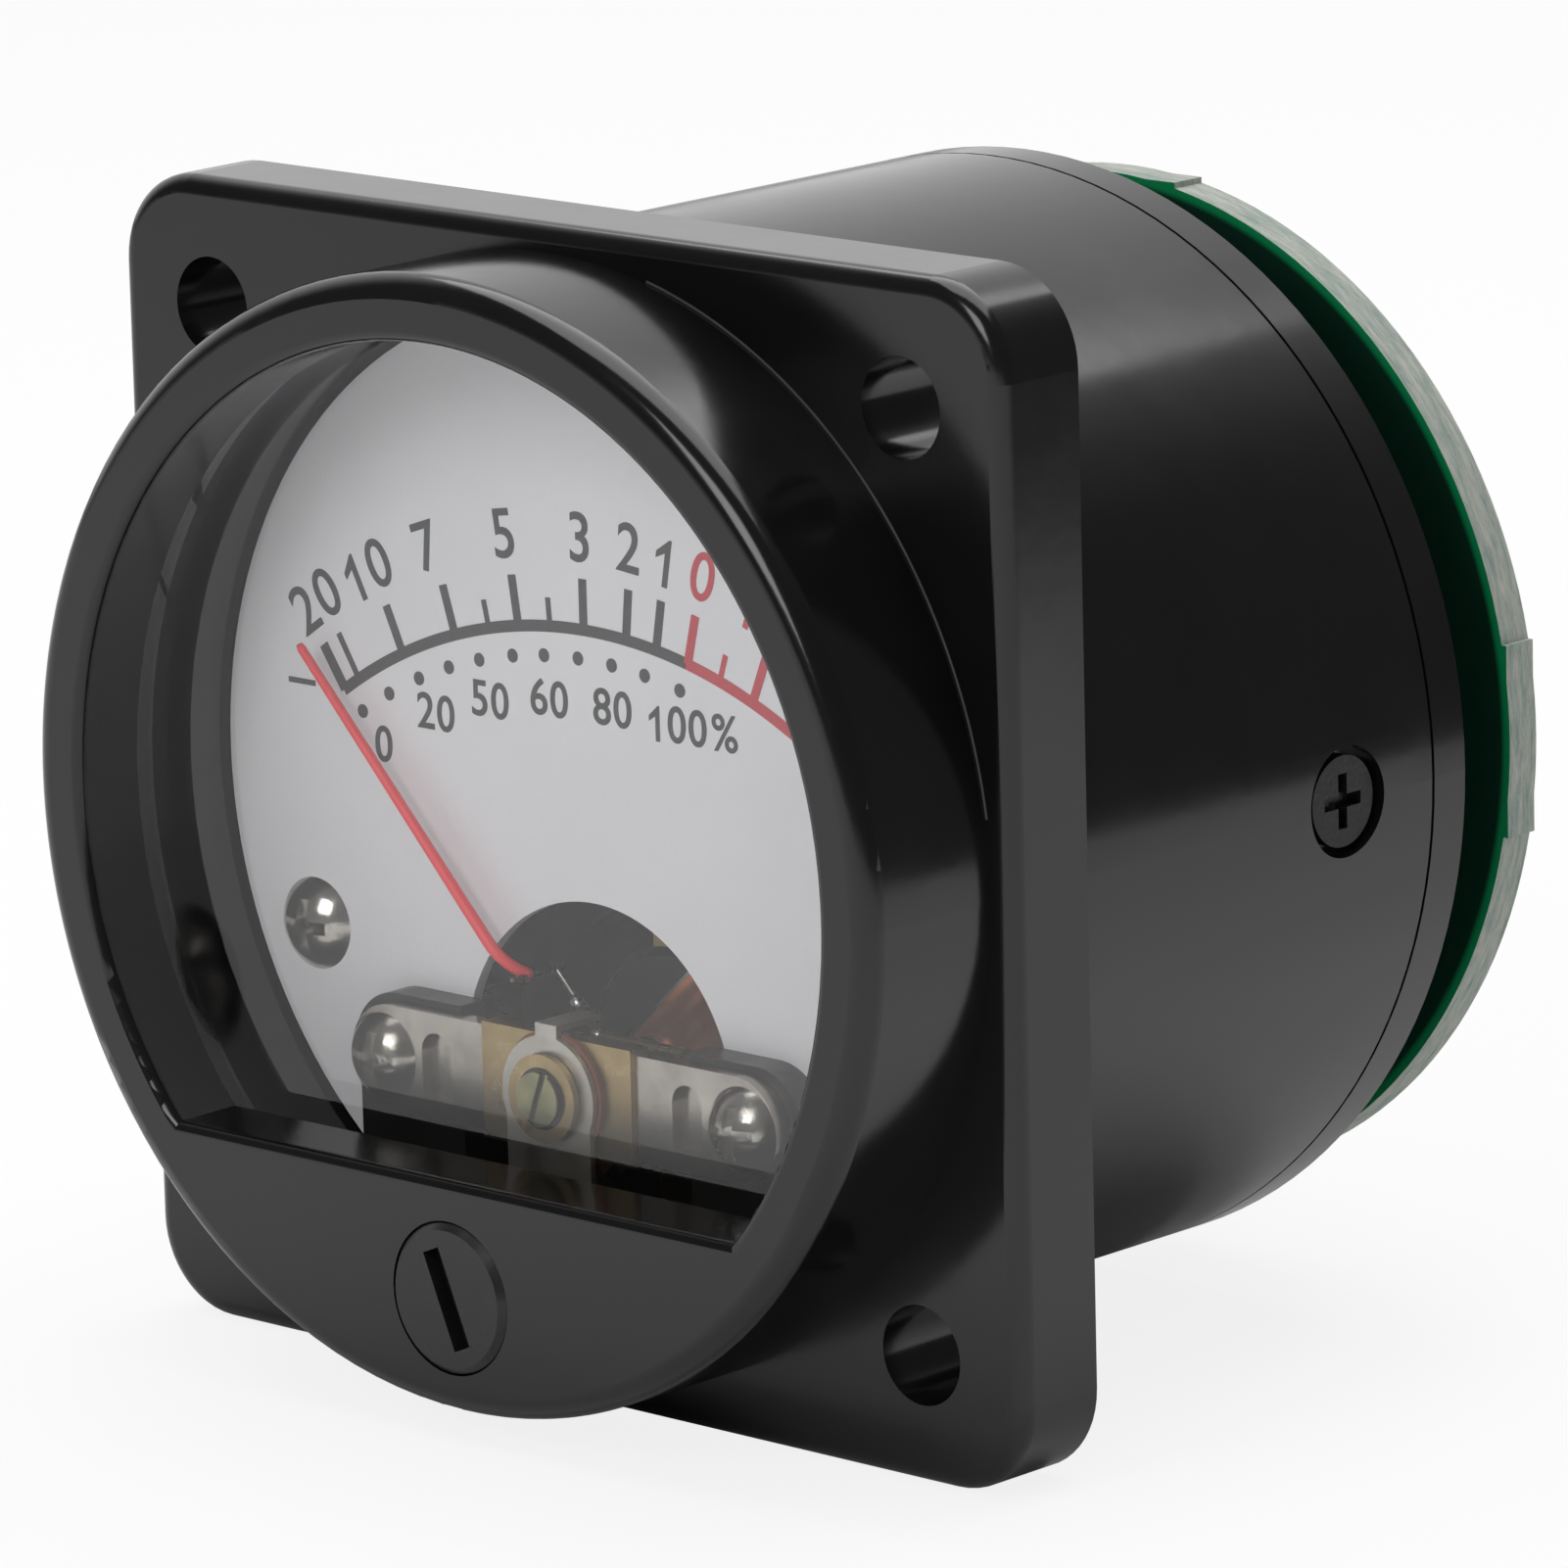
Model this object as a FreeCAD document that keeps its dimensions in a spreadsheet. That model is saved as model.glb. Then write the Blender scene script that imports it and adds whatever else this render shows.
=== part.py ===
import FreeCAD, Part
import math
import os
import re

import Sketcher
from FreeCAD import Placement, Rotation, Vector

# Panel meter with a moving-coil movement. The dial faces -Y, +X is to the right seen from the
# front and +Z is up. The origin is the middle of the flange's rear face. Lengths are millimetres.

SIZES = {
    # moulded housing
    "flange_side": 45,
    "flange_thick": 4.1,
    "flange_corner": 3.6,
    "flange_round": 0.7,
    "hole_pitch": 35.2,
    "hole_radius": 1.9,
    "barrel_radius": 21.6,
    "barrel_length": 20.7,
    "barrel_wall": 2.1,
    "bezel_step": 0.1,
    "bezel_proud": 6.6,
    "bezel_round": 0.9,
    "mask_thick": 3.1,
    "window_lip": 0.5,
    "window_round": 0.4,
    # clear window
    "lens_gap": 0.1,
    "lens_thick": 1.2,
    "lens_lap": 1.7,
    "lens_clear": 2.8,
    # zero adjuster in the mask
    "adjuster_inset": 4.5,
    "adjuster_head": 2.9,
    "adjuster_seat": 1.2,
    "adjuster_proud": 0.2,
    "adjuster_bevel": 0.25,
    "adjuster_shaft": 1.5,
    "running_gap": 0.06,
    "slot_wide": 0.85,
    "slot_long": 3.9,
    "slot_deep": 0.7,
    "slot_turn": 22.6,
    "clip_gap": 0.3,
    "clip_thick": 0.4,
    "clip_radius": 2.4,
    "crank_throw": 0.9,
    "crank_pin": 0.45,
    "fork_play": 0.08,
    "fork_root": 0.675,
    # dial
    "axis_inset": 9.1,
    "dial_setback": 4.0,
    "dial_thick": 0.5,
    "dial_gap": 0.3,
    "dial_cut": 6.9,
    "dial_notch": 11.4,
    "dial_screw_inset": 3.375,
    "dial_screw_turn": 23.4,
    "dial_screw_head": 1.8,
    "dome_high": 0.9,
    "dial_screw_shank": 0.7,
    "dial_screw_long": 5.0,
    "dial_post": 1.6,
    "screw_play": 0.05,
    "cross_wide": 0.5,
    "cross_long": 2.1,
    "cross_deep": 0.5,
    # front bridge and the parts on it
    "bridge_thick": 0.8,
    "bridge_high": 4.1,
    "bridge_reach": 11.0,
    "bridge_slot_side": 6.5,
    "bridge_slot_wide": 1.5,
    "bridge_slot_deep": 0.45,
    "bridge_slot_high": 2.6,
    "saddle_side": 3.85,
    "saddle_wall": 0.2,
    "spacer_thick": 1.3,
    "spacer_rise": 0.25,
    "spacer_skirt": 2.2,
    "spacer_inner": 5.9,
    "spacer_outer": 11.6,
    "screw_side": 9.3,
    "bridge_screw_head": 1.7,
    "bridge_screw_shank": 0.75,
    "bridge_screw_end": 13.0,
    "screw_room": 0.5,
    "washer_thick": 0.2,
    "washer_radius": 2.5,
    "arm_gap": 0.05,
    "arm_thick": 0.25,
    "arm_ring": 2.35,
    "arm_tab_wide": 1.1,
    "arm_tab_back": 2.2,
    "fork_wide": 4.3,
    "fork_end": 8.2,
    "nut_thick": 0.3,
    "nut_radius": 1.7,
    "jewel_head": 1.05,
    "jewel_head_thick": 0.25,
    "jewel_body": 0.8,
    "jewel_cup": 0.42,
    "jewel_cup_deep": 0.9,
    "jewel_below": 0.2,
    "jewel_slot": 0.32,
    "jewel_slot_deep": 0.175,
    "jewel_turn": 20,
    # moving coil
    "pivot_radius": 0.36,
    "pivot_tip": 0.11,
    "pivot_foot": 1.2,
    "pivot_foot_thick": 0.25,
    "pivot_end_gap": 0.15,
    "coil_setback": 2.5,
    "winding_thick": 0.5,
    "winding_wide": 3.0,
    "winding_round": 0.4,
    "former_wall": 0.25,
    "former_wide": 3.6,
    "core_gap": 0.35,
    "core_length": 4.8,
    "core_radius": 4.4,
    "yoke_gap": 1.7,
    "yoke_wall": 1.5,
    "yoke_lead": 0.3,
    "yoke_tail": 0.6,
    "wedge_wide": 1.8,
    "pointer_rest": 43.2,
    "pointer_reach": 20.8,
    "pointer_root": 5.2,
    "pointer_lift": 1.0,
    "pointer_thick": 0.23,
    "pointer_tip": 0.14,
    "arm_wire": 0.12,
    "hub_plane": 0.9,
    "hub_radius": 0.75,
    "hub_thick": 0.7,
    "hub_strip_wide": 0.5,
    "hub_strip_thick": 0.2,
    "hub_strip_end": 3.35,
    "balance_joint": 1.77,
    "balance_side": 3.6,
    "balance_back": 1.6,
    "balance_wire": 0.12,
    "weight_radius": 0.3,
    "weight_long": 4.3,
    "weight_end": 0.3,
    # hair springs
    "collet_radius": 0.7,
    "collet_thick": 0.4,
    "collet_gap": 0.06,
    "ribbon_thick": 0.08,
    "ribbon_wide": 0.2,
    "spring_plane": 0.65,
    "rear_spring_lift": 0.15,
    "spring_turns": 3,
    # movement frame and rear bearing
    "post_radius": 1.5,
    "frame_thick": 1.0,
    "frame_rim": 0.8,
    "ear_radius": 2.4,
    "rear_bridge_thick": 0.8,
    "rear_bridge_wide": 4.0,
    "small_screw_head": 0.9,
    "small_screw_thick": 0.4,
    "spring_stud": 0.3,
    # rear base
    "seam_gap": 0.15,
    "lid_thick": 2.2,
    "lid_round": 0.4,
    "plug_gap": 0.1,
    "plug_wall": 1.8,
    "plug_long": 8.0,
    "pillar_radius": 2.4,
    # case screws in the barrel's sides
    "case_screw_back": 15.75,
    "case_seat_radius": 2.13,
    "case_seat_deep": 0.95,
    "case_head_radius": 1.75,
    "case_head_thick": 0.7,
    "case_shank": 0.95,
    "case_shank_long": 2.9,
    "case_play": 0.15,
    # terminals and circuit board
    "stud_side": 8.5,
    "stud_radius": 1.5,
    "stud_end": 36.5,
    "stud_head": 2.4,
    "stud_head_thick": 0.9,
    "board_gap": 4.1,
    "hex_flats": 5.5,
    "nut_high": 2.4,
    "washer_high": 0.5,
    "washer_wide": 3.0,
    "board_inset": 1.47,
    "board_thick": 1.6,
    "tab_cut": 0.13,
    "tab_wide": 7.5,
    "led_rise": 12.0,
    "led_radius": 1.5,
    "led_long": 5.2,
    "led_play": 0.3,
    "rectifier_drop": 7.0,
    "rectifier_wide": 4.7,
    "rectifier_high": 3.9,
    "rectifier_thick": 2.3,
    "capacitor_side": 6.5,
    "capacitor_rise": 8.5,
    "capacitor_radius": 2.5,
    "capacitor_long": 5.4,
    "resistor_pitch": 3.0,
    "resistor_long": 3.2,
    "resistor_wide": 1.6,
    "resistor_thick": 0.55,
    "resistor_rise": 7.5,
    # how far a cut runs past what it cuts
    "cut_past": 1.0,
}

# Levels along Y and other places that follow from the sizes.
PLACES = {
    "barrel_bore": "barrel_radius - barrel_wall",
    "bezel_radius": "barrel_radius - bezel_step",
    "window_radius": "barrel_bore - window_lip",
    "adjuster_drop": "bezel_radius - adjuster_inset",
    "lens_flat": "adjuster_drop - lens_clear",
    "window_chord": "lens_flat - lens_lap",
    "axis_drop": "barrel_bore - axis_inset",
    "dial_screw_reach": "barrel_bore - dial_screw_inset",
    "dial_screw_side": "dial_screw_reach * cos(dial_screw_turn)",
    "dial_screw_drop": "dial_screw_reach * sin(dial_screw_turn)",
    "arm_tab_rise": "washer_radius + arm_gap + arm_thick",
    "board_radius": "barrel_radius - board_inset",
    "tab_flat": "board_radius - tab_cut",
    "mask_front": "-(flange_thick + bezel_proud)",
    "lens_front": "mask_front + mask_thick",
    "lens_rear": "lens_front + lens_thick",
    "dial_front": "lens_rear + dial_setback",
    "dial_rear": "dial_front + dial_thick",
    "bridge_rear": "dial_front - spacer_thick",
    "bridge_front": "bridge_rear - bridge_thick",
    "saddle_front": "bridge_front - saddle_wall",
    "washer_front": "saddle_front - washer_thick",
    "arm_rear": "washer_front - arm_gap",
    "arm_front": "arm_rear - arm_thick",
    "nut_rear": "arm_front - arm_gap",
    "nut_front": "nut_rear - nut_thick",
    "jewel_front": "nut_front - jewel_head_thick",
    "jewel_rear": "bridge_rear + jewel_below",
    "winding_front": "dial_rear + coil_setback",
    "former_front": "winding_front + winding_thick",
    "core_front": "former_front + former_wall + core_gap",
    "core_rear": "core_front + core_length",
    "former_rear": "core_rear + core_gap + former_wall",
    "winding_rear": "former_rear + winding_thick",
    "yoke_front": "core_front - yoke_lead",
    "yoke_bore": "core_radius + yoke_gap",
    "yoke_radius": "yoke_bore + yoke_wall",
    "frame_front": "winding_rear + yoke_tail",
    "frame_rear": "frame_front + frame_thick",
    "frame_radius": "yoke_radius + frame_rim",
    "rear_bridge_rear": "frame_rear + rear_bridge_thick",
    "rear_jewel_front": "frame_rear + jewel_below",
    "rear_jewel_rear": "rear_bridge_rear + jewel_head_thick",
    "hub_level": "dial_rear + hub_plane",
    "pointer_level": "dial_front - pointer_lift",
    "spring_level": "bridge_rear + spring_plane",
    "spring_reach": "arm_tab_rise - arm_thick",
    "rear_spring_level": "winding_rear + spring_plane + rear_spring_lift",
    "lid_front": "barrel_length + seam_gap",
    "lid_rear": "lid_front + lid_thick",
    "plug_radius": "barrel_bore - plug_gap",
    "board_front": "lid_rear + board_gap",
    "board_rear": "board_front + board_thick",
    "screw_hole": "bridge_screw_shank + screw_play",
    "jewel_hole": "jewel_body + screw_play",
    "bridge_half": "bridge_high / 2",
    "spacer_half": "bridge_half + spacer_rise",
    "pin_level": "adjuster_drop - crank_throw",
    "case_seat_floor": "barrel_radius - case_seat_deep",
}

doc = FreeCAD.newDocument("panel_meter")
sheet = doc.addObject("Spreadsheet::Sheet", "Size")
finished = []


def fill_sheet():
    for row, (name, size) in enumerate(SIZES.items(), start=1):
        sheet.set("A%d" % row, name)
        sheet.set("B%d" % row, str(size))
        sheet.setAlias("B%d" % row, name)
    doc.recompute()


def formula(text):
    """Write a formula over the sheet's cells, with every place filled in."""
    def cell(match):
        name = match.group(0)
        if name in PLACES:
            return "(" + formula(PLACES[name]) + ")"
        if name in SIZES:
            return "Size." + name
        return name
    return re.sub(r"[a-z][a-z_]*", cell, text)


def value(text):
    return float(sheet.evalExpression(formula(text)))


def bind(thing, path, text):
    thing.setExpression(path, formula(text))


def finish(thing, label):
    """Name a piece and keep it for the export."""
    thing.Label = label
    finished.append(thing)
    return thing


# Sketches and features of a body

def new_body(label, across="0", up="0", turn=None):
    body = doc.addObject("PartDesign::Body", label)
    if turn is not None:
        body.Placement = Placement(Vector(0, 0, 0), Rotation(Vector(0, 1, 0), value(turn)))
        bind(body, "Placement.Rotation.Angle", turn)
    bind(body, "Placement.Base.x", across)
    bind(body, "Placement.Base.z", up)
    return finish(body, label)


def plane_of(body, role):
    return next(item for item in body.Origin.OriginFeatures if item.Role == role)


def new_sketch(body, role, lift="0"):
    drawing = body.newObject("Sketcher::SketchObject", body.Name + "_sketch")
    drawing.AttachmentSupport = [(plane_of(body, role), "")]
    drawing.MapMode = "FlatFace"
    bind(drawing, "AttachmentOffset.Base.z", lift)
    return drawing


def hold(drawing, kind, curve, end, text):
    """Tie one coordinate of a point in a sketch to its formula."""
    number = drawing.addConstraint(Sketcher.Constraint(kind, -1, 1, curve, end, value(text)))
    drawing.setExpression("Constraints[%d]" % number, formula(text))


def draw_outline(drawing, corners):
    """Closed outline. A corner is (across, up), or (across, up, centre across, centre up, way)
    where the edge that leaves it is an arc; way is 1 for counterclockwise and -1 for clockwise."""
    first = drawing.GeometryCount
    count = len(corners)
    ends = []
    for place, corner in enumerate(corners):
        here = Vector(value(corner[0]), value(corner[1]), 0)
        after = corners[(place + 1) % count]
        there = Vector(value(after[0]), value(after[1]), 0)
        if len(corner) == 2:
            drawing.addGeometry(Part.LineSegment(here, there))
            ends.append((1, 2))
            continue
        middle = Vector(value(corner[2]), value(corner[3]), 0)
        start, stop = (here, there) if corner[4] > 0 else (there, here)
        begin = math.atan2(start.y - middle.y, start.x - middle.x)
        end = math.atan2(stop.y - middle.y, stop.x - middle.x)
        if end <= begin:
            end += 2 * math.pi
        ring = Part.Circle(middle, Vector(0, 0, 1), (here - middle).Length)
        drawing.addGeometry(Part.ArcOfCircle(ring, begin, end))
        ends.append((1, 2) if corner[4] > 0 else (2, 1))
    for place, corner in enumerate(corners):
        after = (place + 1) % count
        joint = Sketcher.Constraint("Coincident", first + place, ends[place][1], first + after, ends[after][0])
        drawing.addConstraint(joint)
        hold(drawing, "DistanceX", first + place, ends[place][0], corner[0])
        hold(drawing, "DistanceY", first + place, ends[place][0], corner[1])
    for place, corner in enumerate(corners):
        if len(corner) == 2:
            continue
        after = corners[(place + 1) % count]
        wide = abs(value(after[0]) - value(corner[0]))
        high = abs(value(after[1]) - value(corner[1]))
        if wide > high:
            hold(drawing, "DistanceY", first + place, 3, corner[3])
        else:
            hold(drawing, "DistanceX", first + place, 3, corner[2])


def draw_circle(drawing, radius, across="0", up="0"):
    centre = Vector(value(across), value(up), 0)
    curve = drawing.addGeometry(Part.Circle(centre, Vector(0, 0, 1), value(radius)))
    hold(drawing, "DistanceX", curve, 3, across)
    hold(drawing, "DistanceY", curve, 3, up)
    number = drawing.addConstraint(Sketcher.Constraint("Radius", curve, value(radius)))
    drawing.setExpression("Constraints[%d]" % number, formula(radius))


def box_corners(left, right, low, high):
    return [(left, low), (right, low), (right, high), (left, high)]


def stadium_corners(reach, half):
    """Strip along the first axis with round ends, from -reach to reach."""
    inner = "%s - %s" % (reach, half)
    outer = "-(%s)" % inner
    return [
        (outer, "-(%s)" % half),
        (inner, "-(%s)" % half, inner, "0", 1),
        (inner, half),
        (outer, half, outer, "0", 1),
    ]


def front_sketch(body, level):
    """Sketch seen from the front at a level along Y: across is X and up is Z."""
    return new_sketch(body, "XZ_Plane", "-(%s)" % level)


def pad(body, drawing, thick):
    """Grow a front sketch towards +Y."""
    feature = body.newObject("PartDesign::Pad", body.Name + "_pad")
    feature.Profile = drawing
    feature.Reversed = True
    bind(feature, "Length", thick)
    body.Tip = feature
    doc.recompute()
    return feature


def pocket(body, drawing, deep):
    """Cut a front sketch towards +Y."""
    feature = body.newObject("PartDesign::Pocket", body.Name + "_pocket")
    feature.Profile = drawing
    bind(feature, "Length", deep)
    body.Tip = feature
    doc.recompute()
    return feature


def turned(body, corners):
    """Revolve an outline of (radius, level) round the body's own Y axis."""
    drawing = new_sketch(body, "XY_Plane")
    draw_outline(drawing, corners)
    feature = body.newObject("PartDesign::Revolution", body.Name + "_turn")
    feature.Profile = drawing
    feature.ReferenceAxis = (drawing, ["V_Axis"])
    feature.Angle = 360
    body.Tip = feature
    doc.recompute()
    return feature


def mirrored(body, features):
    """Repeat features on the other side of X."""
    feature = body.newObject("PartDesign::Mirrored", body.Name + "_mirror")
    feature.Originals = features
    feature.MirrorPlane = (plane_of(body, "YZ_Plane"), [""])
    body.Tip = feature
    doc.recompute()
    return feature


# Primitives and booleans

def bar(name, radius, start, length, across="0", up="0"):
    """Round bar along Y."""
    piece = doc.addObject("Part::Cylinder", name)
    piece.Placement = Placement(Vector(0, 0, 0), Rotation(Vector(1, 0, 0), -90))
    bind(piece, "Radius", radius)
    bind(piece, "Height", length)
    place_at(piece, across, start, up)
    return piece


def place_at(piece, across, back, up):
    bind(piece, "Placement.Base.x", across)
    bind(piece, "Placement.Base.y", back)
    bind(piece, "Placement.Base.z", up)


def block(name, wide, deep, high, across, back, up):
    """Box centred on across and up, from back towards +Y."""
    piece = doc.addObject("Part::Box", name)
    bind(piece, "Length", wide)
    bind(piece, "Width", deep)
    bind(piece, "Height", high)
    place_at(piece, "%s - (%s) / 2" % (across, wide), back, "%s - (%s) / 2" % (up, high))
    return piece


def cut(name, base, tool):
    piece = doc.addObject("Part::Cut", name)
    piece.Base = base
    piece.Tool = tool
    return piece


def fuse(name, parts):
    piece = doc.addObject("Part::MultiFuse", name)
    piece.Shapes = parts
    return piece


def together(name, parts):
    """Separate solids kept as one group."""
    piece = doc.addObject("Part::Compound", name)
    piece.Links = parts
    return finish(piece, name)


def cross_recess(name, front, across, up):
    """Cross-shaped bit that cuts a screw's recess."""
    flat = block(name + "_flat", "cross_long", "cross_deep", "cross_wide", across, front, up)
    tall = block(name + "_tall", "cross_wide", "cross_deep", "cross_long", across, front, up)
    return fuse(name, [flat, tall])


def domed_screw(name, head, shank, seat, shank_end, across, up):
    """Pan-head screw along Y with its head in front of the seat."""
    cap = doc.addObject("Part::Sphere", name + "_cap")
    rise = "dome_high"
    ball = "((%s)^2 + %s^2) / (2 * %s)" % (head, rise, rise)
    bind(cap, "Radius", ball)
    place_at(cap, across, "%s - %s + %s" % (seat, rise, ball), up)
    slab = bar(name + "_slab", head, "%s - %s" % (seat, rise), rise, across, up)
    dome = doc.addObject("Part::Common", name + "_dome")
    dome.Base = cap
    dome.Tool = slab
    recess = cross_recess(name + "_recess", "%s - %s" % (seat, rise), across, up)
    topped = cut(name + "_topped", dome, recess)
    rod = bar(name + "_rod", shank, seat, "%s - (%s)" % (shank_end, seat), across, up)
    return fuse(name, [topped, rod])


def sides():
    """Formulas for the right and the left side."""
    return (("right", ""), ("left", "-"))


# Moulded housing, window and zero adjuster

def front_housing():
    body = new_body("front_housing")
    flange_of(body)
    turned(body, [
        ("0", "barrel_length"),
        ("barrel_radius", "barrel_length"),
        ("barrel_radius", "-flange_thick / 2"),
        ("bezel_radius", "-flange_thick / 2"),
        ("bezel_radius", "mask_front + bezel_round", "bezel_radius - bezel_round", "mask_front + bezel_round", -1),
        ("bezel_radius - bezel_round", "mask_front"),
        ("0", "mask_front"),
    ])
    bore = front_sketch(body, "lens_front")
    draw_circle(bore, "barrel_bore")
    pocket(body, bore, "barrel_length - (lens_front)")
    window = front_sketch(body, "mask_front")
    edge = "sqrt(window_radius^2 - window_chord^2)"
    draw_outline(window, [
        ("-" + edge, "-window_chord"),
        (edge, "-window_chord", "0", "0", 1),
    ])
    pocket(body, window, "mask_thick")
    round_window(body)
    for radius, deep in (("adjuster_head + running_gap", "adjuster_seat"), ("adjuster_shaft + running_gap", "mask_thick")):
        hole = front_sketch(body, "mask_front")
        draw_circle(hole, radius, "0", "-adjuster_drop")
        pocket(body, hole, deep)
    cuts = []
    for radius, deep in (("case_seat_radius", "case_seat_deep"), ("case_shank + case_play", "barrel_wall + cut_past")):
        side = new_sketch(body, "YZ_Plane", "barrel_radius")
        draw_circle(side, radius, "case_screw_back", "0")
        cuts.append(pocket(body, side, deep))
    mirrored(body, cuts)
    holes = front_sketch(body, "-flange_thick")
    for across in ("hole_pitch / 2", "-hole_pitch / 2"):
        for up in ("hole_pitch / 2", "-hole_pitch / 2"):
            draw_circle(holes, "hole_radius", across, up)
    pocket(body, holes, "flange_thick")


def flange_of(body):
    """Square plate with rounded corners and rounded front edges."""
    plate = front_sketch(body, "-flange_thick")
    half = "flange_side / 2"
    near = "flange_side / 2 - flange_corner"
    draw_outline(plate, [
        ("-(%s)" % near, "-" + half),
        (near, "-" + half, near, "-(%s)" % near, 1),
        (half, "-(%s)" % near),
        (half, near, near, near, 1),
        (near, half),
        ("-(%s)" % near, half, "-(%s)" % near, near, 1),
        ("-" + half, near),
        ("-" + half, "-(%s)" % near, "-(%s)" % near, "-(%s)" % near, 1),
    ])
    grown = pad(body, plate, "flange_thick")
    front = value("-flange_thick")
    edges = edges_near(grown, lambda box: abs(box.YMin - front) < 0.01 and abs(box.YMax - front) < 0.01)
    rounded(body, grown, edges, "flange_round")


def edges_near(feature, wanted):
    return ["Edge%d" % number for number, edge in enumerate(feature.Shape.Edges, start=1)
            if wanted(edge.BoundBox)]


def rounded(body, base, edges, radius):
    feature = body.newObject("PartDesign::Fillet", body.Name + "_fillet")
    feature.Base = (base, edges)
    bind(feature, "Radius", radius)
    body.Tip = feature
    doc.recompute()
    return feature


def round_window(body):
    """Soften the front edge of the window opening."""
    base = body.Tip
    front = value("mask_front")
    reach = value("window_radius")
    edges = edges_near(base, lambda box: abs(box.YMin - front) < 0.01 and abs(box.YMax - front) < 0.01
                       and box.ZMin > value("-window_chord") - 0.01 and box.XMax < reach + 0.01)
    rounded(body, base, edges, "window_round")


def window_lens():
    body = new_body("window_lens")
    drawing = front_sketch(body, "lens_front")
    radius = "(barrel_bore - lens_gap)"
    edge = "sqrt(%s^2 - lens_flat^2)" % radius
    draw_outline(drawing, [
        ("-" + edge, "-lens_flat"),
        (edge, "-lens_flat", "0", "0", 1),
    ])
    pad(body, drawing, "lens_thick")


def zero_adjuster():
    body = new_body("zero_adjuster", "0", "-adjuster_drop", "-slot_turn")
    front = "mask_front - adjuster_proud"
    neck = "mask_front + adjuster_seat - clip_gap / 2"
    end = "lens_front + clip_gap + clip_thick"
    turned(body, [
        ("0", front),
        ("adjuster_head - adjuster_bevel", front),
        ("adjuster_head", front + " + adjuster_bevel"),
        ("adjuster_head", neck),
        ("adjuster_shaft", neck),
        ("adjuster_shaft", end),
        ("0", end),
    ])
    slot = front_sketch(body, front)
    draw_outline(slot, box_corners("-slot_wide / 2", "slot_wide / 2", "-slot_long / 2", "slot_long / 2"))
    pocket(body, slot, "slot_deep")
    crank = front_sketch(body, end)
    draw_circle(crank, "crank_pin", "crank_throw * sin(slot_turn)", "crank_throw * cos(slot_turn)")
    pad(body, crank, "arm_rear - (%s)" % end)


def adjuster_clip():
    body = new_body("adjuster_clip", "0", "-adjuster_drop")
    level = "lens_front + clip_gap"
    drawing = front_sketch(body, level)
    draw_circle(drawing, "clip_radius")
    draw_circle(drawing, "adjuster_shaft")
    pad(body, drawing, "clip_thick")


# Dial

def dial_plate():
    body = new_body("dial_plate")
    drawing = front_sketch(body, "dial_front")
    radius = "(barrel_bore - dial_gap)"
    foot = "-sqrt(%s^2 - dial_notch^2)" % radius
    brow = "-(axis_drop + bridge_half)"
    mouth = "sqrt(dial_cut^2 - bridge_half^2)"
    draw_outline(drawing, [
        ("-dial_notch", foot),
        ("-dial_notch", brow),
        ("-" + mouth, brow, "0", "-axis_drop", -1),
        (mouth, brow),
        ("dial_notch", brow),
        ("dial_notch", foot, "0", "0", 1),
    ])
    for _, sign in sides():
        draw_circle(drawing, "screw_hole", sign + "screw_side", "-axis_drop")
        draw_circle(drawing, "dial_screw_shank + screw_play", sign + "dial_screw_side", "-dial_screw_drop")
    pad(body, drawing, "dial_thick")


def dial_screws():
    pair = [domed_screw("dial_screw_" + side, "dial_screw_head", "dial_screw_shank", "dial_front",
                        "dial_front + dial_screw_long", sign + "dial_screw_side", "-dial_screw_drop")
            for side, sign in sides()]
    together("dial_screws", pair)


# Front bridge and the parts on it

def front_bridge():
    body = new_body("front_bridge", "0", "-axis_drop")
    drawing = front_sketch(body, "bridge_front")
    draw_outline(drawing, stadium_corners("bridge_reach", "bridge_half"))
    draw_circle(drawing, "jewel_hole")
    for _, sign in sides():
        draw_circle(drawing, "screw_hole", sign + "screw_side")
    pad(body, drawing, "bridge_thick")
    slots = front_sketch(body, "bridge_front")
    for _, sign in sides():
        middle = sign + "bridge_slot_side"
        half = "bridge_slot_wide / 2"
        rise = "bridge_slot_high / 2 - bridge_slot_wide / 2"
        draw_outline(slots, [
            ("%s - %s" % (middle, half), "-bridge_slot_high / 2"),
            ("%s + %s" % (middle, half), "-bridge_slot_high / 2"),
            ("%s + %s" % (middle, half), rise, middle, rise, 1),
            ("%s - %s" % (middle, half), rise),
        ])
    pocket(body, slots, "bridge_slot_deep")


def bridge_saddle():
    """Brass channel over the middle of the bridge strip."""
    body = new_body("bridge_saddle", "0", "-axis_drop")
    drawing = front_sketch(body, "saddle_front")
    high = "bridge_half + saddle_wall"
    draw_outline(drawing, box_corners("-saddle_side", "saddle_side", "-(%s)" % high, high))
    draw_circle(drawing, "jewel_hole")
    pad(body, drawing, "saddle_wall + bridge_thick")
    strip = front_sketch(body, "bridge_front")
    draw_outline(strip, box_corners("-saddle_side", "saddle_side", "-bridge_half", "bridge_half"))
    pocket(body, strip, "bridge_thick")


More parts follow.
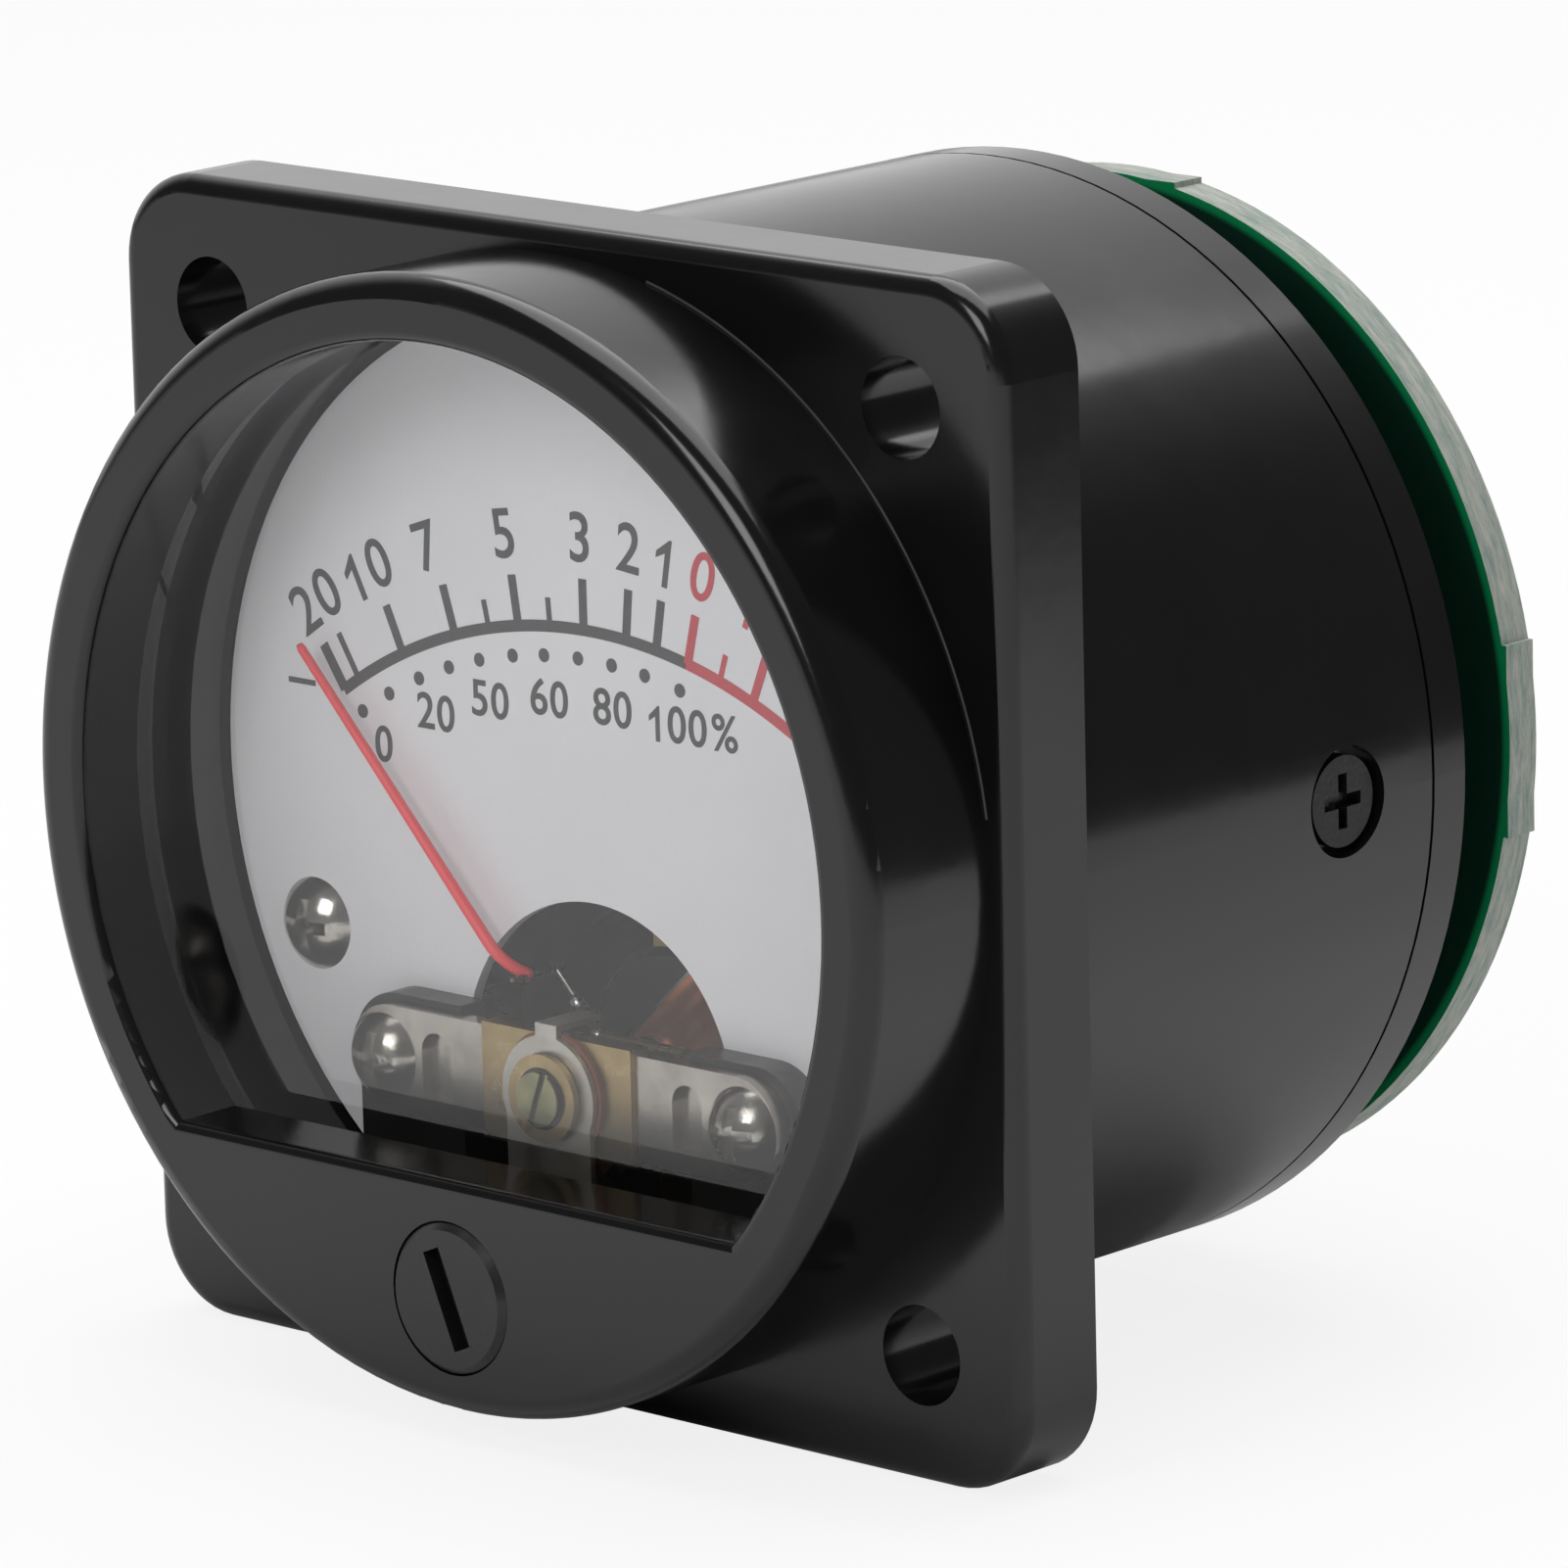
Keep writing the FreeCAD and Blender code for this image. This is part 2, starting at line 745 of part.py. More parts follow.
def bridge_spacers():
    """Black moulded pads between the bridge and the dial, with a skirt that hangs below the bridge."""
    plates = []
    for side, sign in sides():
        bore = bar("spacer_bore_" + side, "screw_hole", "bridge_rear", "spacer_thick", sign + "screw_side", "-axis_drop")
        wide = "spacer_outer - spacer_half - spacer_inner"
        middle = sign + "(spacer_inner + (%s) / 2)" % wide
        flat = block("spacer_flat_" + side, wide, "spacer_thick", "2 * spacer_half", middle, "bridge_rear", "-axis_drop")
        end = bar("spacer_end_" + side, "spacer_half", "bridge_rear", "spacer_thick",
                  sign + "(spacer_outer - spacer_half)", "-axis_drop")
        reach = "spacer_outer - spacer_rise - spacer_inner"
        skirt = block("spacer_skirt_" + side, reach, "spacer_thick", "spacer_half + spacer_skirt",
                      sign + "(spacer_inner + (%s) / 2)" % reach, "bridge_rear",
                      "-axis_drop - (spacer_half + spacer_skirt) / 2")
        plates.append(cut("spacer_" + side, fuse("spacer_blank_" + side, [flat, end, skirt]), bore))
    together("bridge_spacers", plates)


def bridge_screws():
    pair = [domed_screw("bridge_screw_" + side, "bridge_screw_head", "bridge_screw_shank", "bridge_front",
                        "bridge_screw_end", sign + "screw_side", "-axis_drop")
            for side, sign in sides()]
    together("bridge_screws", pair)


def bridge_posts():
    posts = []
    for side, sign in sides():
        length = "frame_front - (dial_rear)"
        outer = bar("post_outer_" + side, "post_radius", "dial_rear", length, sign + "screw_side", "-axis_drop")
        bore = bar("post_bore_" + side, "screw_hole", "dial_rear", length, sign + "screw_side", "-axis_drop")
        posts.append(cut("post_" + side, outer, bore))
    together("bridge_posts", posts)


def ring_piece(label, outer, inner, level, thick):
    body = new_body(label, "0", "-axis_drop")
    drawing = front_sketch(body, level)
    draw_circle(drawing, outer)
    draw_circle(drawing, inner)
    pad(body, drawing, thick)
    return body


def front_jewel_screw():
    """Slotted screw with the cup that the front pivot runs in."""
    body = new_body("front_jewel_screw", "0", "-axis_drop", "jewel_turn")
    turned(body, [
        ("0", "jewel_front"),
        ("jewel_head", "jewel_front"),
        ("jewel_head", "nut_front"),
        ("jewel_body", "nut_front"),
        ("jewel_body", "jewel_rear"),
        ("jewel_cup", "jewel_rear"),
        ("jewel_cup", "jewel_rear - jewel_cup_deep"),
        ("0", "jewel_rear - jewel_cup_deep"),
    ])
    slot = front_sketch(body, "jewel_front")
    draw_outline(slot, box_corners("-jewel_slot / 2", "jewel_slot / 2", "-jewel_head", "jewel_head"))
    pocket(body, slot, "jewel_slot_deep")


def zero_arm():
    """Ring with a tab bent back over the bridge and a fork down to the adjuster's pin."""
    body = new_body("zero_arm", "0", "-axis_drop")
    drawing = front_sketch(body, "arm_front")
    half = "fork_wide / 2"
    foot = "sqrt(arm_ring^2 - (%s)^2)" % half
    neck = "arm_tab_wide / 2"
    brow = "sqrt(arm_ring^2 - (%s)^2)" % neck
    jaw = "crank_pin + fork_play"
    throat = "pin_level - axis_drop - fork_root"
    draw_outline(drawing, [
        ("-" + half, "-fork_end"),
        ("-(%s)" % jaw, "-fork_end"),
        ("-(%s)" % jaw, "-(%s)" % throat),
        (jaw, "-(%s)" % throat),
        (jaw, "-fork_end"),
        (half, "-fork_end"),
        (half, "-" + foot, "0", "0", 1),
        (neck, brow),
        (neck, "arm_tab_rise"),
        ("-" + neck, "arm_tab_rise"),
        ("-" + neck, brow, "0", "0", 1),
        ("-" + half, "-" + foot),
    ])
    draw_circle(drawing, "jewel_body + running_gap")
    pad(body, drawing, "arm_thick")
    leg = front_sketch(body, "arm_rear")
    draw_outline(leg, box_corners("-" + neck, neck, "arm_tab_rise - arm_thick", "arm_tab_rise"))
    pad(body, leg, "arm_tab_back")


# Moving coil, drawn with the pointer straight up and turned to its rest

def moving_body(label):
    return new_body(label, "0", "-axis_drop", "-pointer_rest")


def swing(piece):
    """Carry an upright group of the coil to its axis and its rest."""
    piece.Placement = Placement(Vector(0, 0, 0), Rotation(Vector(0, 1, 0), value("-pointer_rest")))
    bind(piece, "Placement.Rotation.Angle", "-pointer_rest")
    bind(piece, "Placement.Base.z", "-axis_drop")


def frame_loop(label, inner_half, outer_half, inner_front, inner_rear, wall, wide):
    """Rectangular loop round the core, in the plane of the shaft."""
    body = moving_body(label)
    drawing = new_sketch(body, "XY_Plane", "-(%s) / 2" % wide)
    draw_outline(drawing, box_corners("-(%s)" % outer_half, outer_half,
                                      "%s - %s" % (inner_front, wall), "%s + %s" % (inner_rear, wall)))
    draw_outline(drawing, box_corners("-(%s)" % inner_half, inner_half, inner_front, inner_rear))
    feature = body.newObject("PartDesign::Pad", label + "_pad")
    feature.Profile = drawing
    bind(feature, "Length", wide)
    body.Tip = feature
    doc.recompute()
    return feature


def coil_former():
    inner = "core_radius + core_gap"
    outer = "core_radius + core_gap + former_wall"
    frame_loop("coil_former", inner, outer, "core_front - core_gap", "core_rear + core_gap", "former_wall", "former_wide")


def coil_winding():
    inner = "core_radius + core_gap + former_wall"
    outer = "core_radius + core_gap + former_wall + winding_thick"
    grown = frame_loop("coil_winding", inner, outer, "former_front", "former_rear", "winding_thick", "winding_wide")
    reach = value(outer)
    body = grown.getParentGeoFeatureGroup()
    edges = edges_near(grown, lambda box: box.ZMax - box.ZMin > 1 and box.XMax - box.XMin < 0.01
                       and box.YMax - box.YMin < 0.01 and abs(abs(box.XMin) - reach) < 0.01)
    rounded(body, grown, edges, "winding_round")


def front_pivot():
    body = moving_body("front_pivot")
    tip = "jewel_rear - jewel_cup_deep + pivot_end_gap"
    turned(body, [
        ("0", tip),
        ("pivot_tip", tip),
        ("pivot_radius", tip + " + pivot_radius"),
        ("pivot_radius", "winding_front - pivot_foot_thick"),
        ("pivot_foot", "winding_front - pivot_foot_thick"),
        ("pivot_foot", "winding_front"),
        ("0", "winding_front"),
    ])


def rear_pivot():
    body = moving_body("rear_pivot")
    tip = "rear_jewel_front + jewel_cup_deep - pivot_end_gap"
    turned(body, [
        ("0", tip),
        ("pivot_tip", tip),
        ("pivot_radius", tip + " - pivot_radius"),
        ("pivot_radius", "winding_rear + pivot_foot_thick"),
        ("pivot_foot", "winding_rear + pivot_foot_thick"),
        ("pivot_foot", "winding_rear"),
        ("0", "winding_rear"),
    ])


def collar(label, radius, level, thick):
    body = moving_body(label)
    drawing = front_sketch(body, "%s - (%s) / 2" % (level, thick))
    draw_circle(drawing, radius)
    draw_circle(drawing, "pivot_radius")
    pad(body, drawing, thick)


def pointer():
    needle = doc.addObject("Part::Cone", "pointer_needle")
    bind(needle, "Radius1", "pointer_thick")
    bind(needle, "Radius2", "pointer_tip")
    bind(needle, "Height", "pointer_reach - pointer_root")
    place_at(needle, "0", "pointer_level", "pointer_root")
    group = together("pointer", [needle])
    swing(group)


def hub_bar(name):
    return bar(name, "hub_radius", "hub_level - hub_thick / 2", "hub_thick")


def pointer_hub():
    bore = bar("hub_bore", "pivot_radius", "hub_level - hub_thick / 2", "hub_thick")
    group = together("pointer_hub", [cut("hub_drilled", hub_bar("hub_blank"), bore)])
    swing(group)


def pointer_arm():
    """Flat strip on the hub, then a wire that steps forward through the dial's cut-out."""
    strip = block("arm_strip", "hub_strip_wide", "hub_strip_thick", "hub_strip_end", "0",
                  "hub_level - hub_strip_thick / 2", "hub_strip_end / 2")
    bend = "pointer_root - pointer_thick"
    lap = "hub_radius"
    rise = doc.addObject("Part::Cylinder", "arm_rise")
    bind(rise, "Radius", "arm_wire")
    bind(rise, "Height", "%s - hub_strip_end + %s" % (bend, lap))
    place_at(rise, "0", "hub_level", "hub_strip_end - " + lap)
    step = bar("arm_step", "arm_wire", "pointer_level", "hub_level - (pointer_level)", "0", bend)
    knees = []
    for name, level in (("arm_knee", "hub_level"), ("arm_toe", "pointer_level")):
        knee = doc.addObject("Part::Sphere", name)
        bind(knee, "Radius", "arm_wire")
        place_at(knee, "0", level, bend)
        knees.append(knee)
    whole = fuse("arm_whole", [strip, rise, step] + knees)
    group = together("pointer_arm", [cut("arm_trimmed", whole, hub_bar("arm_hub_space"))])
    swing(group)


def leg_length():
    return "sqrt(balance_side^2 + (balance_joint + balance_back)^2)"


def leg_rod(name, radius, start, length, side):
    """Rod along one leg of the balance wire, from a distance down the leg."""
    rod = doc.addObject("Part::Cylinder", name)
    bind(rod, "Radius", radius)
    bind(rod, "Height", length)
    share = "(%s) / (%s)" % (start, leg_length())
    angle = math.degrees(math.atan2(value("balance_side"), value("-(balance_joint + balance_back)")))
    rod.Placement = Placement(Vector(0, 0, 0), Rotation(Vector(0, 1, 0), side * angle))
    sign = "" if side > 0 else "-"
    lean = "(180 deg - atan(balance_side / (balance_joint + balance_back)))"
    bind(rod, "Placement.Rotation.Angle", lean if side > 0 else "-1 * " + lean)
    rise = "balance_joint - (balance_joint + balance_back) * %s" % share
    place_at(rod, sign + "balance_side * " + share, "hub_level - hub_strip_thick / 2 - balance_wire", rise)
    return rod


def balance():
    """Swept-back wires soldered to the strip, with a wound weight on each."""
    legs = [leg_rod("balance_leg_%d" % place, "balance_wire", "0", leg_length(), side)
            for place, side in enumerate((1, -1), start=1)]
    heel = doc.addObject("Part::Sphere", "balance_heel")
    bind(heel, "Radius", "balance_wire")
    place_at(heel, "0", "hub_level - hub_strip_thick / 2 - balance_wire", "balance_joint")
    wires = together("balance_arms", [fuse("balance_wires", legs + [heel])])
    swing(wires)
    weights = []
    for place, side in enumerate((1, -1), start=1):
        start = leg_length() + " - weight_long - weight_end"
        outer = leg_rod("weight_outer_%d" % place, "weight_radius", start, "weight_long", side)
        bore = leg_rod("weight_bore_%d" % place, "balance_wire", start, "weight_long", side)
        weights.append(cut("weight_%d" % place, outer, bore))
    swing(together("balance_weights", weights))


# Hair springs

def hair_spring(label, level, turn):
    """Flat spiral of half circles whose outer end stands at the top before the turn."""
    body = new_body(label, "0", "-axis_drop", turn)
    start = "(collet_radius + collet_gap)"
    pitch = "((spring_reach - ribbon_thick - %s) / spring_turns)" % start
    halves = 2 * int(value("spring_turns"))
    inner = []
    outer = []
    for half in range(halves + 1):
        sign = "-" if half % 2 else ""
        reach = "%s + %d * %s" % (start, half // 2, pitch)
        middle = "%d * %s / 2" % (half % 2, pitch)
        past = "%d * %s / 2" % ((half + 1) % 2, pitch)
        inner.append(("0", "%s(%s)" % (sign, reach), "0", middle, -1))
        outer.append(("0", "%s(%s + ribbon_thick)" % (sign, reach), "0", past, 1))
    tail = inner.pop()
    outer[0] = outer[0][:2]
    drawing = front_sketch(body, "%s - ribbon_wide / 2" % level)
    draw_outline(drawing, inner + [tail[:2]] + outer[::-1])
    pad(body, drawing, "ribbon_wide")


def spring_stud():
    body = new_body("rear_spring_stud", "0", "-axis_drop")
    drawing = front_sketch(body, "rear_spring_level - ribbon_wide / 2")
    draw_circle(drawing, "spring_stud", "spring_reach + spring_stud", "0")
    pad(body, drawing, "frame_rear - (rear_spring_level - ribbon_wide / 2)")


# Magnet system and rear bearing

def core_wedges():
    """Two keys between the core and the yoke, above and below."""
    keys = []
    for place, sign in sides():
        high = "yoke_bore - core_radius"
        key = block("wedge_%s_bar" % place, "wedge_wide", "core_length", "%s + cut_past" % high, "0",
                    "core_front", "-axis_drop + %s (core_radius + (%s) / 2)" % ("1 *" if sign == "" else "-1 *", high))
        core = bar("wedge_%s_core" % place, "core_radius", "core_front - cut_past", "core_length + 2 * cut_past", "0", "-axis_drop")
        bore = bar("wedge_%s_bore" % place, "yoke_bore", "core_front - cut_past", "core_length + 2 * cut_past", "0", "-axis_drop")
        inside = doc.addObject("Part::Common", "wedge_%s_inside" % place)
        inside.Base = key
        inside.Tool = bore
        keys.append(cut("wedge_" + place, inside, core))
    together("core_wedges", keys)


def core_magnet():
    body = new_body("core_magnet", "0", "-axis_drop")
    turned(body, [
        ("0", "core_front"),
        ("core_radius - core_gap", "core_front"),
        ("core_radius", "core_front + core_gap"),
        ("core_radius", "core_rear - core_gap"),
        ("core_radius - core_gap", "core_rear"),
        ("0", "core_rear"),
    ])


def movement_frame():
    """Round plate under the yoke with an ear at each long screw."""
    body = new_body("movement_frame", "0", "-axis_drop")
    plate = front_sketch(body, "frame_front")
    draw_circle(plate, "frame_radius")
    pad(body, plate, "frame_thick")
    for _, sign in sides():
        ear = front_sketch(body, "frame_front")
        draw_circle(ear, "ear_radius", sign + "screw_side")
        pad(body, ear, "frame_thick")
    holes = front_sketch(body, "frame_front")
    draw_circle(holes, "yoke_bore - frame_rim")
    for _, sign in sides():
        draw_circle(holes, "screw_hole", sign + "screw_side")
    pocket(body, holes, "frame_thick")


def rear_bridge():
    body = new_body("rear_bridge", "0", "-axis_drop")
    drawing = front_sketch(body, "frame_rear")
    reach = "frame_radius - frame_rim"
    draw_outline(drawing, box_corners("-rear_bridge_wide / 2", "rear_bridge_wide / 2", "-(%s)" % reach, reach))
    draw_circle(drawing, "jewel_hole")
    pad(body, drawing, "rear_bridge_thick")


def rear_bridge_screws():
    pair = []
    for side, sign in sides():
        up = "-axis_drop + %s (yoke_radius - yoke_wall / 2)" % ("1 *" if sign == "" else "-1 *")
        head = bar("rear_screw_" + side, "small_screw_head", "rear_bridge_rear", "small_screw_thick", "0", up)
        slot = block("rear_slot_" + side, "2 * small_screw_head", "small_screw_thick / 2", "jewel_slot", "0",
                     "rear_bridge_rear + small_screw_thick / 2", up)
        pair.append(cut("rear_screw_cut_" + side, head, slot))
    together("rear_bridge_screws", pair)


def rear_jewel_screw():
    body = new_body("rear_jewel_screw", "0", "-axis_drop")
    back = "rear_jewel_rear + jewel_head_thick"
    turned(body, [
        ("0", back),
        ("jewel_head", back),
        ("jewel_head", "rear_bridge_rear"),
        ("jewel_body", "rear_bridge_rear"),
        ("jewel_body", "rear_jewel_front"),
        ("jewel_cup", "rear_jewel_front"),
        ("jewel_cup", "rear_jewel_front + jewel_cup_deep"),
        ("0", "rear_jewel_front + jewel_cup_deep"),
    ])


# Rear base and its screws

def rear_base():
    body = new_body("rear_base")
    start = "lid_front - plug_long"
    turned(body, [
        ("0", "lid_front"),
        ("plug_radius - plug_wall", "lid_front"),
        ("plug_radius - plug_wall", start),
        ("plug_radius", start),
        ("plug_radius", "lid_front"),
        ("barrel_radius", "lid_front"),
        ("barrel_radius", "lid_rear - lid_round"),
        ("barrel_radius - lid_round", "lid_rear"),
        ("0", "lid_rear"),
    ])
    for level, radius, side, drop in (("frame_rear", "pillar_radius", "screw_side", "axis_drop"),
                                      ("dial_rear", "dial_post", "dial_screw_side", "dial_screw_drop")):
        pillars = front_sketch(body, level)
        for _, sign in sides():
            draw_circle(pillars, radius, sign + side, "-" + drop)
        pad(body, pillars, "lid_front - (%s)" % level)
    for level, radius, side, drop, deep in (
            ("frame_rear", "screw_hole", "screw_side", "axis_drop", "bridge_screw_end + screw_room - frame_rear"),
            ("dial_rear", "dial_screw_shank + screw_play", "dial_screw_side", "dial_screw_drop", "dial_screw_long")):
        pilots = front_sketch(body, level)
        for _, sign in sides():
            draw_circle(pilots, radius, sign + side, "-" + drop)
        pocket(body, pilots, deep)
    through = front_sketch(body, "lid_front")
    draw_circle(through, "led_radius + led_play", "0", "led_rise")
    for _, sign in sides():
        draw_circle(through, "stud_radius", sign + "stud_side")
    pocket(body, through, "lid_thick")
    side = new_sketch(body, "YZ_Plane", "plug_radius")
    draw_circle(side, "case_shank + screw_play", "case_screw_back", "0")
    mirrored(body, [pocket(body, side, "plug_wall + cut_past")])


def case_screws():
    """Black cross-recess screws through the barrel's sides into the base."""
    pair = []
    for side, sign in sides():
        name = "case_screw_" + side
        head = doc.addObject("Part::Cylinder", name + "_head")
        bind(head, "Radius", "case_head_radius")
        bind(head, "Height", "case_head_thick")
        place_at(head, "case_seat_floor", "case_screw_back", "0")
        head.Placement.Rotation = Rotation(Vector(0, 1, 0), 90)
        shank = doc.addObject("Part::Cylinder", name + "_shank")
        bind(shank, "Radius", "case_shank")
        bind(shank, "Height", "case_shank_long")
        place_at(shank, "case_seat_floor - case_shank_long", "case_screw_back", "0")
        shank.Placement.Rotation = Rotation(Vector(0, 1, 0), 90)
        front = "case_seat_floor + case_head_thick - cross_deep"
        flat = block(name + "_flat", "cross_deep", "cross_long", "cross_wide", front + " + cross_deep / 2",
                     "case_screw_back - cross_long / 2", "0")
        tall = block(name + "_tall", "cross_deep", "cross_wide", "cross_long", front + " + cross_deep / 2",
                     "case_screw_back - cross_wide / 2", "0")
        whole = cut(name, fuse(name + "_blank", [head, shank]), fuse(name + "_cross", [flat, tall]))
        if sign:
            flipped = doc.addObject("Part::Mirroring", name + "_flipped")
            flipped.Source = whole
            flipped.Normal = Vector(1, 0, 0)
            whole = flipped
        pair.append(whole)
    together("case_screws", pair)


# Terminals and circuit board

def terminal_studs():
    studs = []
    for side, sign in sides():
        rod = bar("stud_rod_" + side, "stud_radius", "lid_front", "stud_end - (lid_front)", sign + "stud_side")
        head = bar("stud_head_" + side, "stud_head", "lid_front - stud_head_thick", "stud_head_thick", sign + "stud_side")
        studs.append(fuse("stud_" + side, [rod, head]))
    together("terminal_studs", studs)


def hexagon(name, level, thick, across):
    """Six-sided block with the stud's hole."""
    prism = doc.addObject("Part::Prism", name + "_prism")
    prism.Polygon = 6
    prism.Placement = Placement(Vector(0, 0, 0), Rotation(Vector(1, 0, 0), -90))
    bind(prism, "Circumradius", "hex_flats / sqrt(3)")
    bind(prism, "Height", thick)
    place_at(prism, across, level, "0")
    bore = bar(name + "_bore", "stud_radius", level, thick, across)
    return cut(name, prism, bore)


def stud_hardware():
    together("stud_spacers", [hexagon("stud_spacer_" + side, "lid_rear", "board_gap", sign + "stud_side")
                              for side, sign in sides()])
    rings = []
    for side, sign in sides():
        outer = bar("washer_outer_" + side, "washer_wide", "board_rear", "washer_high", sign + "stud_side")
        bore = bar("washer_bore_" + side, "stud_radius", "board_rear", "washer_high", sign + "stud_side")
        rings.append(cut("washer_" + side, outer, bore))
    together("terminal_washers", rings)
    together("terminal_nuts", [hexagon("terminal_nut_" + side, "board_rear + washer_high", "nut_high", sign + "stud_side")
                               for side, sign in sides()])


def circuit_board():
    """Round board with a flat snapped tab above, below and at each side."""
    body = new_body("circuit_board")
    disc = front_sketch(body, "board_front")
    draw_circle(disc, "board_radius")
    pad(body, disc, "board_thick")
    for wide, high in (("tab_wide / 2", "tab_flat"), ("tab_flat", "tab_wide / 2")):
        tab = front_sketch(body, "board_front")
        draw_outline(tab, box_corners("-" + wide, wide, "-" + high, high))
        pad(body, tab, "board_thick")
    holes = front_sketch(body, "board_front")
    for _, sign in sides():
        draw_circle(holes, "stud_radius", sign + "stud_side")
    pocket(body, holes, "board_thick")


def board_parts():
    led = bar("led_barrel", "led_radius", "board_front - led_long + led_radius", "led_long - led_radius", "0", "led_rise")
    dome = doc.addObject("Part::Sphere", "led_dome")
    bind(dome, "Radius", "led_radius")
    place_at(dome, "0", "board_front - led_long + led_radius", "led_rise")
    together("backlight_led", [fuse("led_body", [led, dome])])
    together("rectifier_bridge", [block("rectifier_body", "rectifier_wide", "rectifier_thick", "rectifier_high",
                                        "0", "board_rear", "-rectifier_drop")])
    can = bar("capacitor_can", "capacitor_radius", "board_rear", "capacitor_long", "capacitor_side", "capacitor_rise")
    together("board_capacitor", [can])
    chips = [block("resistor_%d" % place, "resistor_long", "resistor_thick", "resistor_wide",
                   "-capacitor_side", "board_rear", "resistor_rise + %d * resistor_pitch" % place)
             for place in range(2)]
    together("board_resistors", chips)


def build():
    fill_sheet()
    front_housing()
    window_lens()
    zero_adjuster()
    adjuster_clip()
    dial_plate()
    dial_screws()
    front_bridge()
    bridge_saddle()
    bridge_spacers()
    bridge_screws()
    bridge_posts()
    ring_piece("insulating_washer", "washer_radius", "jewel_hole", "washer_front", "washer_thick")
    ring_piece("jewel_lock_nut", "nut_radius", "jewel_body", "nut_front", "nut_thick")
    front_jewel_screw()
    zero_arm()
    coil_former()
    coil_winding()
    front_pivot()
    rear_pivot()
    collar("front_spring_collet", "collet_radius", "spring_level", "collet_thick")
    collar("rear_spring_collet", "collet_radius", "rear_spring_level", "collet_thick")
    pointer()
    pointer_hub()
    pointer_arm()
    balance()
    hair_spring("front_hair_spring", "spring_level", "0")
    hair_spring("rear_hair_spring", "rear_spring_level", "90")
    spring_stud()
    core_magnet()
    core_wedges()
    ring_piece("yoke_ring", "yoke_radius", "yoke_bore", "yoke_front", "frame_front - yoke_front")
    movement_frame()
    rear_bridge()
    rear_bridge_screws()
    rear_jewel_screw()
    rear_base()
    case_screws()
    terminal_studs()
    stud_hardware()
    circuit_board()
    board_parts()
    doc.recompute()


def check():
    """Stop before anything is written if an object failed or a shape is unsound."""
    for item in doc.Objects:
        if "Invalid" in item.State or "Error" in item.State:
            raise RuntimeError("%s could not be worked out" % item.Name)
    for piece in finished:
        if piece.Shape.isNull() or not piece.Shape.isValid() or not piece.Shape.Solids:
            raise RuntimeError("%s is not a sound solid" % piece.Label)


def export():
    os.makedirs("parts", exist_ok=True)
    for piece in finished:
        piece.Shape.exportStep("parts/%s.step" % piece.Label)


build()
check()
export()
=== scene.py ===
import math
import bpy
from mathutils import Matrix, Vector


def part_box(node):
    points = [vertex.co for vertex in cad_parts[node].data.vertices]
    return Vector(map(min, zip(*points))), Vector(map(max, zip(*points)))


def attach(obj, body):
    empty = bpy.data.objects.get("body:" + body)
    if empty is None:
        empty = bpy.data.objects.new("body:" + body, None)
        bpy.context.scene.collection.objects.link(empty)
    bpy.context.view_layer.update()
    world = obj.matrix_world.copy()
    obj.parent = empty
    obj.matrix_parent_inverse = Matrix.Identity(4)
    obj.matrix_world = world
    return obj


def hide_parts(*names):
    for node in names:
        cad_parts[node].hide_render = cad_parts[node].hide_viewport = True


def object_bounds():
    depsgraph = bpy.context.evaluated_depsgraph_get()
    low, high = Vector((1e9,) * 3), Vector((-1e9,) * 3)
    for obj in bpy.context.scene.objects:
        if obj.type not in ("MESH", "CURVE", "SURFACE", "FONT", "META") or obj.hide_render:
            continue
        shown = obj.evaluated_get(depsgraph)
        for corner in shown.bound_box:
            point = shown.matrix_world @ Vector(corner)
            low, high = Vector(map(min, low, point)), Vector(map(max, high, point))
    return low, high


bl_info = {
    "name": "Panel level meter",
    "version": (1, 0, 0),
    "blender": (4, 5, 0),
    "location": "View3D > Sidebar > Panel meter",
    "description": "Dresses the packed panel meter with its dial print, finishes, small parts and studio",
    "category": "Object",
}

import bmesh
import bpy
from mathutils import Matrix, Vector

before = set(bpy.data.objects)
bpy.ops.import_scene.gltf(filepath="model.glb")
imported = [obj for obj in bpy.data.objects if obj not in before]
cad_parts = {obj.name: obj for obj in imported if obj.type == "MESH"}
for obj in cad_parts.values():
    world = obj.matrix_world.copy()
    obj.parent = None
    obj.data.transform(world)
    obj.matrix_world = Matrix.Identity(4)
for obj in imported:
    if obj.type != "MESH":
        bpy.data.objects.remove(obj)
CAD_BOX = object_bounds()
MM = 0.001

# Places that the pieces share, read from the CAD parts
DIAL_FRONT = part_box("dial_plate")[0].y
BOARD_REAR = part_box("circuit_board")[1].y
FLOOR_LEVEL = CAD_BOX[0][2] - 0.0001
AXIS_Z = (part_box("yoke_ring")[0].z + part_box("yoke_ring")[1].z) / 2
HUB_Y = (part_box("pointer_hub")[0].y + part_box("pointer_hub")[1].y) / 2
NUT_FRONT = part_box("jewel_lock_nut")[0].y
POINTER_Y = (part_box("pointer")[0].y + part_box("pointer")[1].y) / 2

# Sizes taken from the part's source
REST_ANGLE = math.radians(-43.2)
BOARD_RADIUS = 20.13 * MM
FLANGE_FRONT = -4.1 * MM
STUD_REACH = 8.5 * MM
PIN_REACH = 1.27 * MM
CAPACITOR = Vector((6.5 * MM, 0, 8.5 * MM))
LED = Vector((0, 0, 12 * MM))
ON_COIL = Matrix.Translation((0, 0, AXIS_Z)) @ Matrix.Rotation(REST_ANGLE, 4, "Y")

